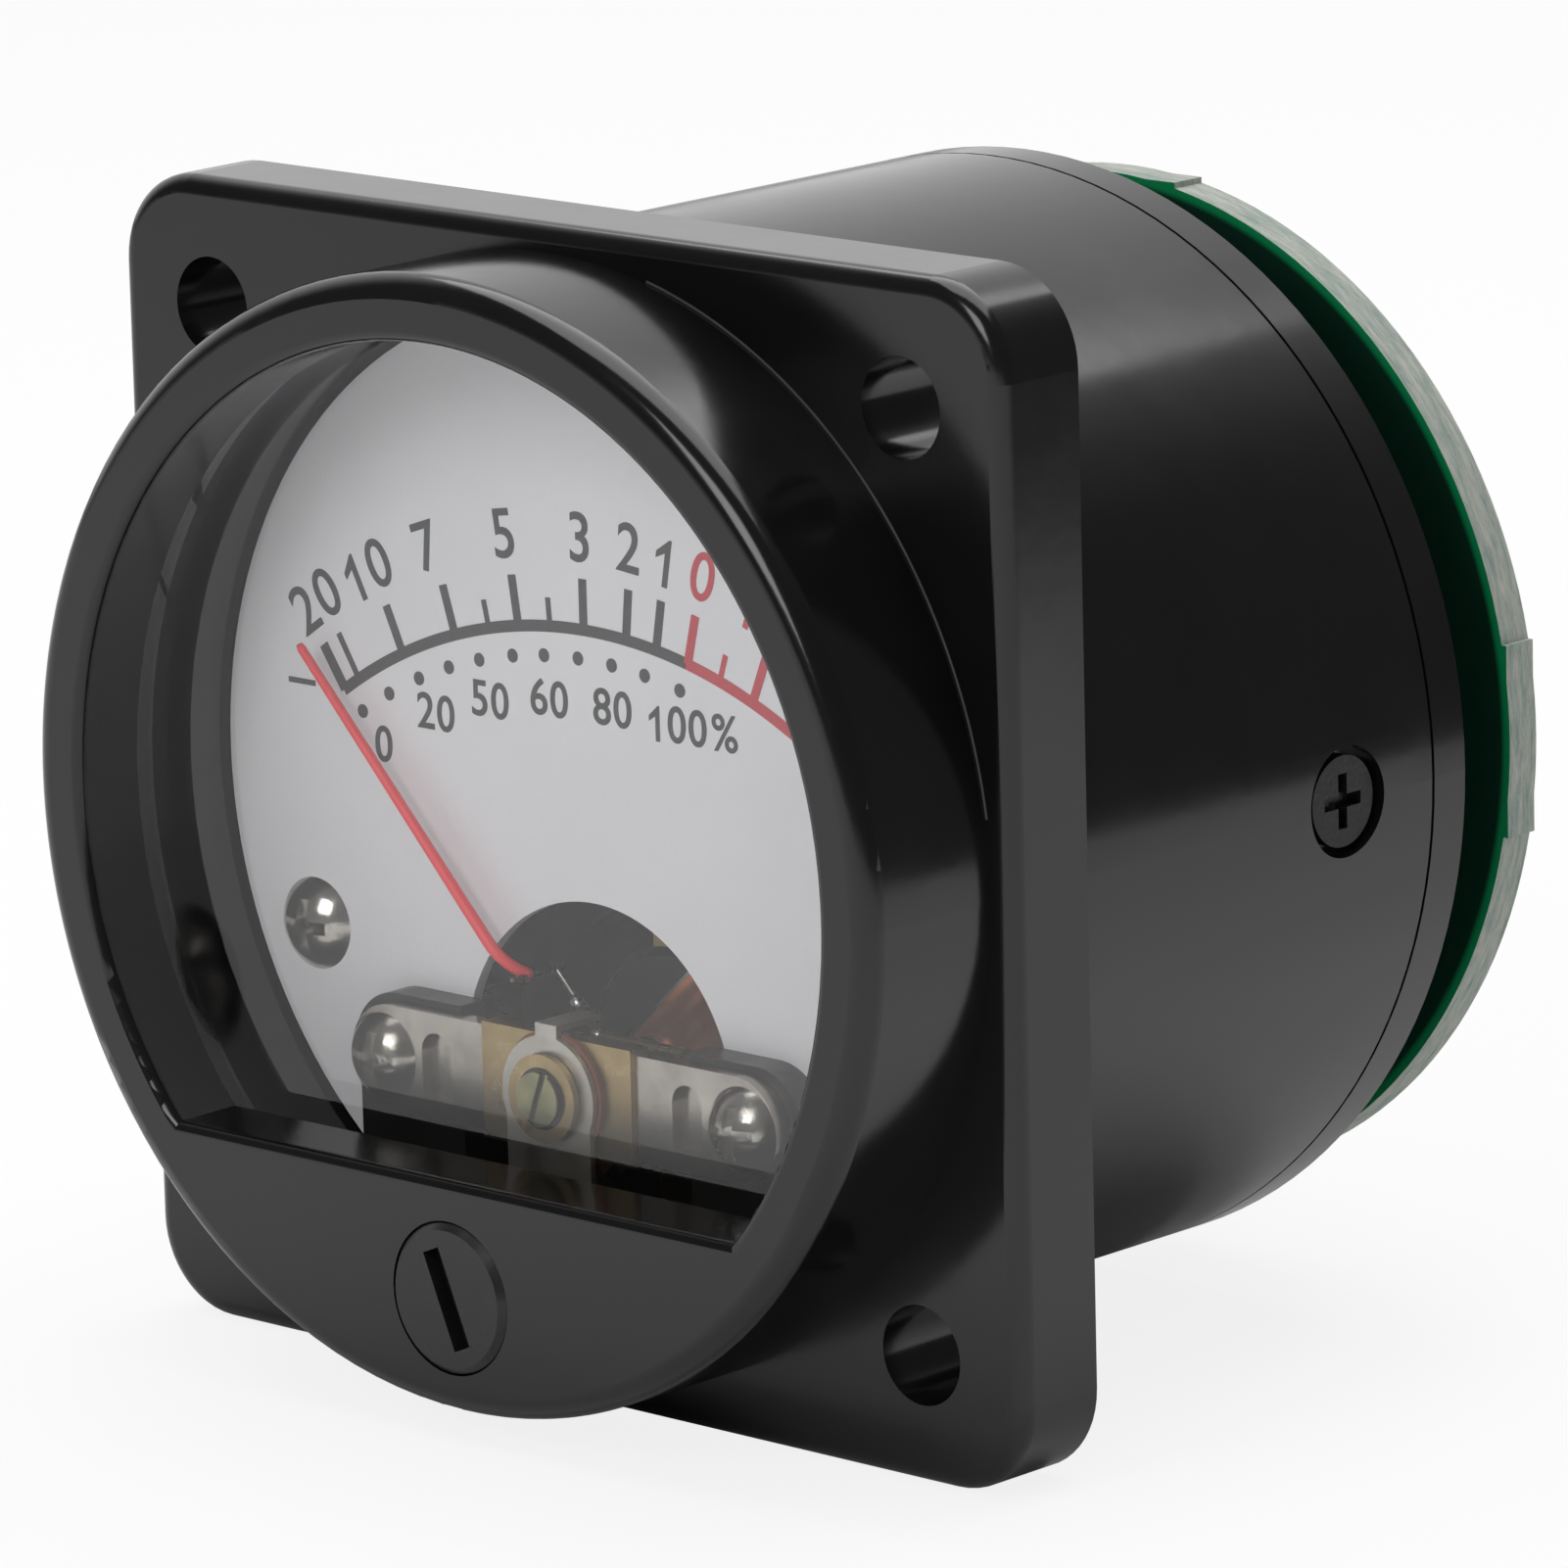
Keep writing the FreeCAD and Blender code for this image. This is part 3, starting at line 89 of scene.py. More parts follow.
# The scale, read from the photograph: ticks as (angle clockwise, is long, width in mm)
PRINT_CENTRE = Vector((-0.12 * MM, 0, -15.72 * MM))
BLACK_TICKS = ((-34.1, True, 0.46), (-31.8, True, 0.27), (-24.9, True, 0.4), (-17.3, True, 0.4),
               (-12.6, False, 0.25), (-8.6, True, 0.4), (-4.4, False, 0.25), (0, True, 0.4),
               (5.5, True, 0.4), (9.4, True, 0.4))
RED_TICKS = ((13.5, True, 0.4), (17.7, False, 0.25), (22.1, True, 0.4), (28.0, True, 0.4), (33.4, True, 0.46))
DOT_ANGLES = (-33.2, -28.7, -23.9, -19.3, -14.8, -10, -5.6, -0.9, 3.7, 8.2, 13)
SCALE_ENDS = (-34.3, 13.3, 33.7)
FIGURE_REACH = 26.07 * MM

# The built-in font, as shares of a capital's height
FONT_CAPITAL = 0.69
FONT_HALF_STROKE = 0.06
FIGURE_CELL = 0.776
PERCENT_CELL = 1.24


# Colours and materials

def linear(code):
    """sRGB hex to linear RGBA."""
    parts = [int(code[place:place + 2], 16) / 255 for place in (1, 3, 5)]
    return [part / 12.92 if part <= 0.04045 else ((part + 0.055) / 1.055) ** 2.4 for part in parts] + [1.0]


def put(tree, kind, values=None, links=None, **settings):
    """Add a node with its settings, its plain values and what feeds it."""
    node = tree.nodes.new(kind)
    for name, setting in settings.items():
        setattr(node, name, setting)
    for socket, number in (values or {}).items():
        node.inputs[socket].default_value = number
    for socket, output in (links or {}).items():
        tree.links.new(output, node.inputs[socket])
    return node


def blank(name):
    """A material with only its output node."""
    material = bpy.data.materials.new(name)
    material.use_nodes = True
    material.node_tree.nodes.clear()
    out = put(material.node_tree, "ShaderNodeOutputMaterial")
    return material, material.node_tree, out


def finish(name, main, second, patch_mm, rough, rough_spread=0.05, metal=0.0, grain_mm=0.1, bump_mm=0.001,
           tuned=None):
    """A surface with patches of a second colour, uneven gloss and a fine grain.
    patch_mm and grain_mm are real sizes, and bump_mm is the grain's depth."""
    material, tree, out = blank(name)
    where = put(tree, "ShaderNodeTexCoord")
    patches = put(tree, "ShaderNodeTexNoise", {"Scale": 1 / (patch_mm * MM), "Detail": 3.0, "Roughness": 0.6},
                  {"Vector": where.outputs["Object"]})
    colour = put(tree, "ShaderNodeMix", {"A": linear(main), "B": linear(second)},
                 {"Factor": patches.outputs["Fac"]},
                 data_type="RGBA")
    grain = put(tree, "ShaderNodeTexNoise", {"Scale": 1 / (grain_mm * MM), "Detail": 2.0},
                {"Vector": where.outputs["Object"]})
    gloss = put(tree, "ShaderNodeMapRange", {"From Min": 0.3, "From Max": 0.7,
                                             "To Min": max(rough - rough_spread, 0.02),
                                             "To Max": rough + rough_spread},
                                             {"Value": patches.outputs["Fac"]})
    relief = put(tree, "ShaderNodeBump", {"Strength": 1.0, "Distance": bump_mm * MM},
                 {"Height": grain.outputs["Fac"]})
    shader = put(tree, "ShaderNodeBsdfPrincipled", {"Metallic": metal},
                 {"Base Color": colour.outputs["Result"], "Roughness": gloss.outputs["Result"],
                  "Normal": relief.outputs["Normal"]})
    for socket, number in (tuned or {}).items():
        shader.inputs[socket].default_value = number
    tree.links.new(shader.outputs["BSDF"], out.inputs["Surface"])
    return material


def moulded_black():
    # Injection-moulded ABS from a polished tool: deep black, mirror-like, with a very faint orange peel
    return finish("moulded ABS, polished black", "#0b0b0c", "#121213", 6.0, 0.16, 0.03, 0.0, 1.4, 0.004,
                  tuned={"IOR": 1.53})


def satin_black_nylon():
    # Moulded nylon of the adjuster: less gloss than the housing and fine flow marks
    return finish("moulded nylon, satin black", "#141415", "#1c1c1d", 1.5, 0.3, 0.06, 0.0, 0.25, 0.004,
                  tuned={"IOR": 1.53})


def clear_acrylic():
    # Cast acrylic window, clear and polished. Light passes without bending, since the camera
    # was fitted to the photograph without any
    material, tree, out = blank("cast acrylic, clear")
    where = put(tree, "ShaderNodeTexCoord")
    haze = put(tree, "ShaderNodeTexNoise", {"Scale": 1 / (8 * MM), "Detail": 2.0},
               {"Vector": where.outputs["Object"]})
    gloss = put(tree, "ShaderNodeMapRange", {"To Min": 0.0, "To Max": 0.03}, {"Value": haze.outputs["Fac"]})
    sheen = put(tree, "ShaderNodeBsdfGlossy", {"Color": linear("#ffffff")},
                {"Roughness": gloss.outputs["Result"]})
    through = put(tree, "ShaderNodeBsdfTransparent", {"Color": linear("#fcfcfc")})
    side = put(tree, "ShaderNodeNewGeometry")
    index = put(tree, "ShaderNodeMapRange", {"To Min": 1.49, "To Max": 1 / 1.49},
                {"Value": side.outputs["Backfacing"]})
    mirror = put(tree, "ShaderNodeFresnel", None, {"IOR": index.outputs["Result"]})
    path = put(tree, "ShaderNodeLightPath")
    clear = put(tree, "ShaderNodeMath", {0: 1.0}, {1: path.outputs["Is Shadow Ray"]}, operation="SUBTRACT")
    share = put(tree, "ShaderNodeMath", None, {0: mirror.outputs["Fac"], 1: clear.outputs["Value"]},
                operation="MULTIPLY")
    lit = put(tree, "ShaderNodeMixShader", None, {"Fac": share.outputs["Value"]})
    tree.links.new(through.outputs["BSDF"], lit.inputs[1])
    tree.links.new(sheen.outputs["BSDF"], lit.inputs[2])
    tree.links.new(lit.outputs["Shader"], out.inputs["Surface"])
    return material


def dial_enamel():
    # Sprayed white enamel on sheet aluminium: flat, with hardly any grain and a slight blue cast
    return finish("sprayed enamel, white", "#eeeef0", "#e4e4e8", 7.0, 0.5, 0.06, 0.0, 0.2, 0.0015)


def printed_ink(name, main, speck):
    """Pad-printed ink with pinholes that let the enamel through."""
    material, tree, out = blank(name)
    where = put(tree, "ShaderNodeTexCoord")
    holes = put(tree, "ShaderNodeTexNoise", {"Scale": 1 / (0.22 * MM), "Detail": 3.0},
                {"Vector": where.outputs["Object"]})
    patchy = put(tree, "ShaderNodeTexNoise", {"Scale": 1 / (5 * MM), "Detail": 1.0},
                 {"Vector": where.outputs["Object"]})
    level = put(tree, "ShaderNodeMapRange", {"From Min": 0.55, "From Max": 0.75, "To Min": 0.9,
                                             "To Max": 0.66},
                {"Value": patchy.outputs["Fac"]})
    worn = put(tree, "ShaderNodeMath", None, {0: holes.outputs["Fac"], 1: level.outputs["Result"]},
               operation="GREATER_THAN")
    colour = put(tree, "ShaderNodeMix", {"A": linear(main), "B": linear(speck)},
                 {"Factor": worn.outputs["Value"]},
                 data_type="RGBA")
    shader = put(tree, "ShaderNodeBsdfPrincipled", {"Roughness": 0.5},
                 {"Base Color": colour.outputs["Result"]})
    tree.links.new(shader.outputs["BSDF"], out.inputs["Surface"])
    return material


def wound_copper():
    """Enamelled copper wire laid side by side round the former."""
    # The real wire is about 0.04 mm; its turns are drawn 0.12 mm apart so that they show
    material, tree, out = blank("enamelled copper wire, wound")
    where = put(tree, "ShaderNodeTexCoord")
    level = put(tree, "ShaderNodeMapping", {"Location": (0, 0, 0), "Rotation": (0, -REST_ANGLE, 0)},
                {"Vector": where.outputs["Object"]})
    turns = put(tree, "ShaderNodeTexWave", {"Scale": 1 / (0.12 * MM) / 20, "Distortion": 0.6, "Detail": 1.0},
                {"Vector": level.outputs["Vector"]}, wave_type="BANDS", bands_direction="Z")
    patches = put(tree, "ShaderNodeTexNoise", {"Scale": 1 / (1.5 * MM), "Detail": 3.0},
                  {"Vector": where.outputs["Object"]})
    colour = put(tree, "ShaderNodeMix", {"A": linear("#a5522f"), "B": linear("#e39a70")},
                 {"Factor": patches.outputs["Fac"]}, data_type="RGBA")
    relief = put(tree, "ShaderNodeBump", {"Strength": 1.0, "Distance": 0.03 * MM},
                 {"Height": turns.outputs["Fac"]})
    shader = put(tree, "ShaderNodeBsdfPrincipled", {"Metallic": 0.85, "Roughness": 0.32, "Coat Weight": 0.4},
                 {"Base Color": colour.outputs["Result"], "Normal": relief.outputs["Normal"]})
    tree.links.new(shader.outputs["BSDF"], out.inputs["Surface"])
    return material


def threaded_zinc():
    """Zinc-plated stud with a rolled thread 0.5 mm apart."""
    material, tree, out = blank("zinc-plated steel, rolled thread")
    where = put(tree, "ShaderNodeTexCoord")
    crests = put(tree, "ShaderNodeTexWave", {"Scale": 1 / (0.5 * MM) / 20, "Distortion": 0.0},
                 {"Vector": where.outputs["Object"]}, wave_type="BANDS", bands_direction="Y",
                 wave_profile="TRI")
    patches = put(tree, "ShaderNodeTexNoise", {"Scale": 1 / (1.2 * MM), "Detail": 3.0},
                  {"Vector": where.outputs["Object"]})
    colour = put(tree, "ShaderNodeMix", {"A": linear("#b9bab8"), "B": linear("#8e8f90")},
                 {"Factor": patches.outputs["Fac"]}, data_type="RGBA")
    relief = put(tree, "ShaderNodeBump", {"Strength": 1.0, "Distance": 0.25 * MM},
                 {"Height": crests.outputs["Fac"]})
    shader = put(tree, "ShaderNodeBsdfPrincipled", {"Metallic": 1.0, "Roughness": 0.3},
                 {"Base Color": colour.outputs["Result"], "Normal": relief.outputs["Normal"]})
    tree.links.new(shader.outputs["BSDF"], out.inputs["Surface"])
    return material


def masked_board():
    """Green solder mask, darkened partly as painted shade, with a painted highlight as a brighter line just
    inside the outer edge of the faces, and bare laminate at the edges.
    """
    material, tree, out = blank("glass-epoxy laminate, green solder mask")
    where = put(tree, "ShaderNodeTexCoord")
    face = put(tree, "ShaderNodeNewGeometry")
    apart = put(tree, "ShaderNodeSeparateXYZ", None, {"Vector": face.outputs["Normal"]})
    flat = put(tree, "ShaderNodeMath", None, {0: apart.outputs["Y"]}, operation="ABSOLUTE")
    edge = put(tree, "ShaderNodeMath", {1: 0.6}, {0: flat.outputs["Value"]}, operation="LESS_THAN")
    # The glass layers show as streaks along the edge, 0.2 mm apart through the board and 2 mm long
    layers = put(tree, "ShaderNodeMapping", {"Scale": (1, 6, 1)}, {"Vector": where.outputs["Object"]})
    weave = put(tree, "ShaderNodeTexNoise", {"Scale": 1 / (1.6 * MM), "Detail": 5.0, "Roughness": 0.75},
                {"Vector": layers.outputs["Vector"]})
    contrast = put(tree, "ShaderNodeMapRange", {"From Min": 0.3, "From Max": 0.7},
                   {"Value": weave.outputs["Fac"]})
    laminate = put(tree, "ShaderNodeMix", {"A": linear("#6f8580"), "B": linear("#b5b3a9")},
                   {"Factor": contrast.outputs["Result"]}, data_type="RGBA")
    level = put(tree, "ShaderNodeVectorMath", {1: (1, 0, 1)}, {0: where.outputs["Object"]},
                operation="MULTIPLY")
    reach = put(tree, "ShaderNodeVectorMath", None, {0: level.outputs["Vector"]}, operation="LENGTH")
    # Painted highlight: a bright green line just inside the board's outer edge
    rim_highlight = put(tree, "ShaderNodeMapRange", {"From Min": BOARD_RADIUS - 0.45 * MM,
                                           "From Max": BOARD_RADIUS - 0.2 * MM},
              {"Value": reach.outputs["Value"]})
    clouds = put(tree, "ShaderNodeTexNoise", {"Scale": 1 / (4 * MM), "Detail": 3.0},
                 {"Vector": where.outputs["Object"]})
    # Solder mask colour, partly its own dark green and partly painted shade of the face that lies behind the
    # lid
    mask = put(tree, "ShaderNodeMix", {"A": linear("#0a2a1f"), "B": linear("#0d3527")},
               {"Factor": clouds.outputs["Fac"]}, data_type="RGBA")
    with_rim_highlight = put(tree, "ShaderNodeMix", {"B": linear("#0a8a52")},
                 {"Factor": rim_highlight.outputs["Result"], "A": mask.outputs["Result"]}, data_type="RGBA")
    colour = put(tree, "ShaderNodeMix", None,
                 {"Factor": edge.outputs["Value"], "A": with_rim_highlight.outputs["Result"],
                  "B": laminate.outputs["Result"]},
                 data_type="RGBA")
    gloss = put(tree, "ShaderNodeMapRange", {"To Min": 0.3, "To Max": 0.75}, {"Value": edge.outputs["Value"]})
    relief = put(tree, "ShaderNodeBump", {"Strength": 0.5, "Distance": 0.02 * MM},
                 {"Height": weave.outputs["Fac"]})
    shader = put(tree, "ShaderNodeBsdfPrincipled", None,
                 {"Base Color": colour.outputs["Result"], "Roughness": gloss.outputs["Result"],
                  "Normal": relief.outputs["Normal"]})
    tree.links.new(shader.outputs["BSDF"], out.inputs["Surface"])
    return material


MATERIALS = {}


def make_materials():
    MATERIALS.update({
        "housing": moulded_black(),
        "adjuster": satin_black_nylon(),
        "window": clear_acrylic(),
        "enamel": dial_enamel(),
        "black_ink": printed_ink("pad-print ink, black", "#3d3e40", "#9fa0a3"),
        "red_ink": printed_ink("pad-print ink, red", "#c93a48", "#d9b3b8"),
        "copper": wound_copper(),
        "thread": threaded_zinc(),
        "board": masked_board(),
        # Nickel plate on stamped strip: warm white metal, slightly wavy from rolling
        "nickel": finish("nickel-plated steel, stamped", "#c6c0b8", "#8a857d", 2.2, 0.22, 0.05, 1.0, 0.6,
                         0.002),
        # Nickel-plated screws: bright, with scuffs from the driver
        "screw": finish("nickel-plated steel, driven", "#d5d1ca", "#6f6a62", 0.9, 0.2, 0.08, 1.0, 0.5, 0.02),
        # Thin plated bronze of the zero arm: dull and pale
        "bronze": finish("plated spring bronze", "#d8d6cf", "#b9b5aa", 1.6, 0.4, 0.06, 1.0, 0.3, 0.002),
        "brass": finish("turned brass", "#b7a27a", "#8f7a52", 1.4, 0.3, 0.06, 1.0, 0.2, 0.002),
        "spring": finish("rolled spring bronze", "#b98a55", "#94683c", 1.0, 0.3, 0.06, 1.0, 0.2, 0.004),
        # Bridge spacers: black partly their own colour and partly painted shade, as they fill the dark gap
        # behind the dial's cut-out
        "spacer_black_and_shade": finish("moulded phenolic, black with painted shade", "#121211", "#1d1c1b", 1.5, 0.35, 0.06, 0.0, 0.3,
                            0.004),
        "fibre": finish("vulcanised fibre", "#6b3d22", "#874d2b", 0.7, 0.6, 0.08, 0.0, 0.12, 0.01),
        "aluminium": finish("rolled aluminium", "#c3c5c8", "#a5a8ab", 1.5, 0.35, 0.07, 1.0, 0.25, 0.006),
        "pivot": finish("ground pivot steel", "#a7a9ab", "#8b8d90", 0.8, 0.2, 0.04, 1.0, 0.15, 0.003),
        # Pointer paint: opaque red, a little glossy
        "red_paint": finish("sprayed lacquer, red", "#ff4a52", "#f63d48", 1.5, 0.4, 0.05, 0.0, 0.15, 0.003),
        "tinned": finish("tinned copper wire", "#9c9690", "#6f6962", 0.6, 0.3, 0.08, 1.0, 0.2, 0.01),
        "magnet": finish("sintered magnet alloy, ground", "#3c3d3e", "#2a2b2c", 1.2, 0.34, 0.06, 0.8, 0.2,
                         0.004),
        "iron": finish("plated soft iron", "#2c2c2d", "#1c1c1d", 1.4, 0.42, 0.06, 0.7, 0.25, 0.004),
        "zinc": finish("zinc-plated steel", "#b9bab8", "#909193", 1.4, 0.3, 0.08, 1.0, 0.3, 0.008),
        # Oiled black oxide on the case screws: dark, with worn grey edges
        "oxide": finish("black-oxide steel", "#0f0f10", "#2b2b2c", 0.7, 0.28, 0.1, 0.5, 0.2, 0.012),
        "resin": finish("cast epoxy, milky", "#e8e2c8", "#ddd4b0", 1.0, 0.2, 0.03, 0.0, 0.4, 0.002,
                        tuned={"Transmission Weight": 0.4, "IOR": 1.5}),
        "epoxy": finish("moulded epoxy, black", "#1b1b1c", "#252526", 0.9, 0.55, 0.06, 0.0, 0.1, 0.01),
        "sleeve": finish("shrink sleeve, dark blue", "#1d2436", "#232c42", 1.5, 0.35, 0.05, 0.0, 0.4, 0.004),
        "solder": finish("tin solder", "#c7c8c9", "#9fa1a3", 0.5, 0.24, 0.08, 1.0, 0.3, 0.01),
        "jewel": finish("turned brass, lacquered", "#a3a17c", "#5f5e45", 0.8, 0.22, 0.05, 1.0, 0.3, 0.004),
        # Painted shade: near-black brass for the thin ring that stands for the shadow in the recess round the
        # jewel screw
        "groove_shade": finish("brass, painted shade in the recess", "#2b2a1c", "#1c1b12", 0.8, 0.4, 0.05, 0.6, 0.3, 0.002),
        "flash": finish("moulded ABS, flash line", "#5a5b5d", "#3c3d3e", 2.5, 0.4, 0.05, 0.0, 0.4, 0.004),
        "trace": finish("solder mask over copper", "#0f4630", "#125239", 3.0, 0.28, 0.04, 0.0, 0.3, 0.004),
        "can": finish("drawn aluminium can", "#c9cacb", "#b0b2b4", 1.2, 0.3, 0.05, 1.0, 0.25, 0.004),
        "silk": finish("screen-print ink, white", "#dfe2df", "#cfd3cf", 0.8, 0.6, 0.05, 0.0, 0.15, 0.003),
    })


NODE_FINISH = {
    "front_housing": "housing", "rear_base": "housing", "zero_adjuster": "adjuster", "window_lens": "window",
    "dial_plate": "enamel", "dial_screws": "screw", "bridge_screws": "screw", "front_bridge": "nickel",
    "bridge_saddle": "brass", "bridge_spacers": "spacer_black_and_shade", "bridge_posts": "brass",
    "insulating_washer": "fibre",
    "jewel_lock_nut": "brass", "front_jewel_screw": "jewel", "zero_arm": "bronze",
    "front_hair_spring": "spring",
    "rear_hair_spring": "spring", "coil_former": "aluminium", "coil_winding": "copper",
    "front_pivot": "pivot",
    "rear_pivot": "pivot", "pointer_hub": "aluminium", "pointer": "red_paint", "pointer_arm": "tinned",
    "balance_arms": "brass", "balance_weights": "brass", "front_spring_collet": "brass",
    "rear_spring_collet": "brass", "core_magnet": "magnet", "core_wedges": "brass", "yoke_ring": "iron",
    "movement_frame": "aluminium", "rear_bridge": "brass", "rear_bridge_screws": "zinc",
    "rear_jewel_screw": "brass",
    "rear_spring_stud": "brass", "case_screws": "oxide", "terminal_studs": "thread", "stud_spacers": "zinc",
    "terminal_washers": "zinc", "terminal_nuts": "zinc", "circuit_board": "board", "backlight_led": "resin",
    "rectifier_bridge": "epoxy", "board_capacitor": "sleeve", "board_resistors": "epoxy",
    "adjuster_clip": "zinc",
}


# Making pieces

def piece_from(mesh_builder, name, body, finish_name):
    """Turn a bmesh into a piece that rides on a body."""
    mesh = bpy.data.meshes.new(name)
    mesh_builder.to_mesh(mesh)
    mesh_builder.free()
    piece = bpy.data.objects.new(name, mesh)
    bpy.context.scene.collection.objects.link(piece)
    mesh.materials.append(MATERIALS[finish_name])
    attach(piece, body)
    return piece


def band(bm, centre, inner, outer, start, end, level, thick):
    """Flat arc of print round a centre; angles in degrees clockwise from the top."""
    full = end - start >= 360
    steps = 96 if full else max(8, int((end - start) * 3))
    turn = math.radians(start)
    points = [centre + Vector((radius * math.sin(turn), 0, radius * math.cos(turn))) for radius in (inner,
                                                                                                    outer)]
    before = set(bm.faces)
    verts = [bm.verts.new((point.x, level, point.z)) for point in points]
    edge = bm.edges.new(verts)
    bmesh.ops.spin(bm, geom=verts + [edge], cent=(centre.x, level, centre.z), axis=(0, 1, 0),
                   angle=math.radians(end - start), steps=steps, use_merge=full)
    thicken(bm, [face for face in bm.faces if face not in before], thick)


def thicken(bm, faces, thick):
    """Grow flat print towards the viewer and point its faces outwards."""
    grown = bmesh.ops.extrude_face_region(bm, geom=faces)
    raised = [item for item in grown["geom"] if isinstance(item, bmesh.types.BMVert)]
    bmesh.ops.translate(bm, verts=raised, vec=(0, -thick, 0))
    bmesh.ops.recalc_face_normals(bm, faces=list(bm.faces))


def bar_mark(bm, centre, inner, outer, wide, angle, level, thick):
    """Printed tick along a radius."""
    made = bmesh.ops.create_cube(bm, size=1.0)
    place = (Matrix.Translation((centre.x, level - thick / 2, centre.z))
             @ Matrix.Rotation(math.radians(angle), 4, "Y")
             @ Matrix.Translation((0, 0, (inner + outer) / 2))
             @ Matrix.Diagonal((wide, thick, outer - inner, 1)))
    bmesh.ops.transform(bm, matrix=place, verts=made["verts"])


def dot_mark(bm, centre, reach, radius, angle, level, thick):
    """Printed dot at a reach and an angle from a centre."""
    made = bmesh.ops.create_cone(bm, cap_ends=True, segments=20, radius1=radius, radius2=radius, depth=thick)
    place = (Matrix.Translation((centre.x, level - thick / 2, centre.z))
             @ Matrix.Rotation(math.radians(angle), 4, "Y")
             @ Matrix.Translation((0, 0, reach))
             @ Matrix.Rotation(math.radians(90), 4, "X"))
    bmesh.ops.transform(bm, matrix=place, verts=made["verts"])


def glyph(letter, high, weight, thick):
    """Mesh of one printed character, centred, in the text plane."""
    curve = bpy.data.curves.new("figure", "FONT")
    curve.body = letter
    curve.align_x = "CENTER"
    curve.align_y = "CENTER"
    curve.size = high / FONT_CAPITAL
    curve.offset = weight
    curve.extrude = thick / 2
    curve.resolution_u = 6
    holder = bpy.data.objects.new("figure", curve)
    bpy.context.scene.collection.objects.link(holder)
    bpy.context.view_layer.update()
    flat = bpy.data.meshes.new_from_object(holder)
    bpy.data.objects.remove(holder)
    bpy.data.curves.remove(curve)
    return flat


def flagged_one(high, stroke, thick):
    """Mesh of a figure one with a slanted flag, which the built-in font lacks."""
    bm = bmesh.new()
    thin = stroke / high
    outline = [(-0.02, -0.5), (-0.02 + thin, -0.5), (-0.02 + thin, 0.5), (-0.08 + thin, 0.5), (-0.26, 0.2),
               (-0.26, 0.2 - thin), (-0.02, 0.2)]
    corners = [bm.verts.new((across * high, up * high, -thick / 2)) for across, up in outline]
    bm.faces.new(corners)
    grown = bmesh.ops.extrude_face_region(bm, geom=list(bm.faces))
    raised = [item for item in grown["geom"] if isinstance(item, bmesh.types.BMVert)]
    bmesh.ops.translate(bm, verts=raised, vec=(0, 0, thick))
    bmesh.ops.recalc_face_normals(bm, faces=list(bm.faces))
    flat = bpy.data.meshes.new("figure")
    bm.to_mesh(flat)
    bm.free()
    return flat


def lettering(name, words, finish_name, thick):
    """Printed figures. Each is (text, x, z, height, turn clockwise, width share, stroke)."""
    joined = bmesh.new()
    for text, across, up, high, turn, narrow, stroke in words:
        cells = [PERCENT_CELL if letter == "%" else FIGURE_CELL for letter in text]
        start = -sum(cells) / 2
        for place, letter in enumerate(text):
            middle = (start + sum(cells[:place]) + cells[place] / 2) * high
            weight = stroke / 2 - FONT_HALF_STROKE * high
            flat = flagged_one(high, stroke, thick) if letter == "1" else glyph(letter, high, weight, thick)
            wide = 1 if letter == "1" else narrow
            flat.transform(Matrix.Translation((across, DIAL_FRONT - thick / 2, up))
                           @ Matrix.Rotation(math.radians(turn), 4, "Y")
                           @ Matrix.Rotation(math.radians(90), 4, "X")
                           @ Matrix.Translation((middle, 0, 0))
                           @ Matrix.Diagonal((wide, 1, 1, 1)))
            joined.from_mesh(flat)
            bpy.data.meshes.remove(flat)
    bmesh.ops.remove_doubles(joined, verts=list(joined.verts), dist=1e-7)
    return piece_from(joined, name, "case", finish_name)


class DialSizes(bpy.types.PropertyGroup):
    arc: bpy.props.FloatProperty(name="Arc radius", description="Middle of the scale's main arc",
                                 default=22.66 * MM,
                                 unit="LENGTH")
    arc_wide: bpy.props.FloatProperty(name="Arc width", description="Width of the main arc",
                                      default=0.45 * MM,
                                      unit="LENGTH")
    long_tick: bpy.props.FloatProperty(name="Long tick end", description="Outer end of the numbered ticks",
                                       default=24.6 * MM, unit="LENGTH")
    short_tick: bpy.props.FloatProperty(name="Short tick end", description="Outer end of the ticks between",
                                        default=23.75 * MM, unit="LENGTH")
    dots: bpy.props.FloatProperty(name="Dot circle", description="Radius of the row of dots",
                                  default=21.54 * MM,
                                  unit="LENGTH")
    ink: bpy.props.FloatProperty(name="Ink thickness", description="Thickness of the print",
                                 default=0.02 * MM,
                                 unit="LENGTH")
    figures: bpy.props.FloatProperty(name="Level figures", description="Height of the upper figures",
                                     default=1.85 * MM, unit="LENGTH")
    shares: bpy.props.FloatProperty(name="Percent figures", description="Height of the lower figures",
                                    default=1.36 * MM, unit="LENGTH")


class PAINT_OT_nodes(bpy.types.Operator):
    """Give every CAD node its finish"""
    bl_idname = "meter.paint_nodes"
    bl_label = "Finish the CAD nodes"

    def execute(self, context):
        make_materials()
        for node, finish_name in NODE_FINISH.items():
            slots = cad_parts[node].data.materials
            for place in range(max(1, len(slots))):
                if len(slots):
                    slots[place] = MATERIALS[finish_name]
                else:
                    slots.append(MATERIALS[finish_name])
        return {"FINISHED"}


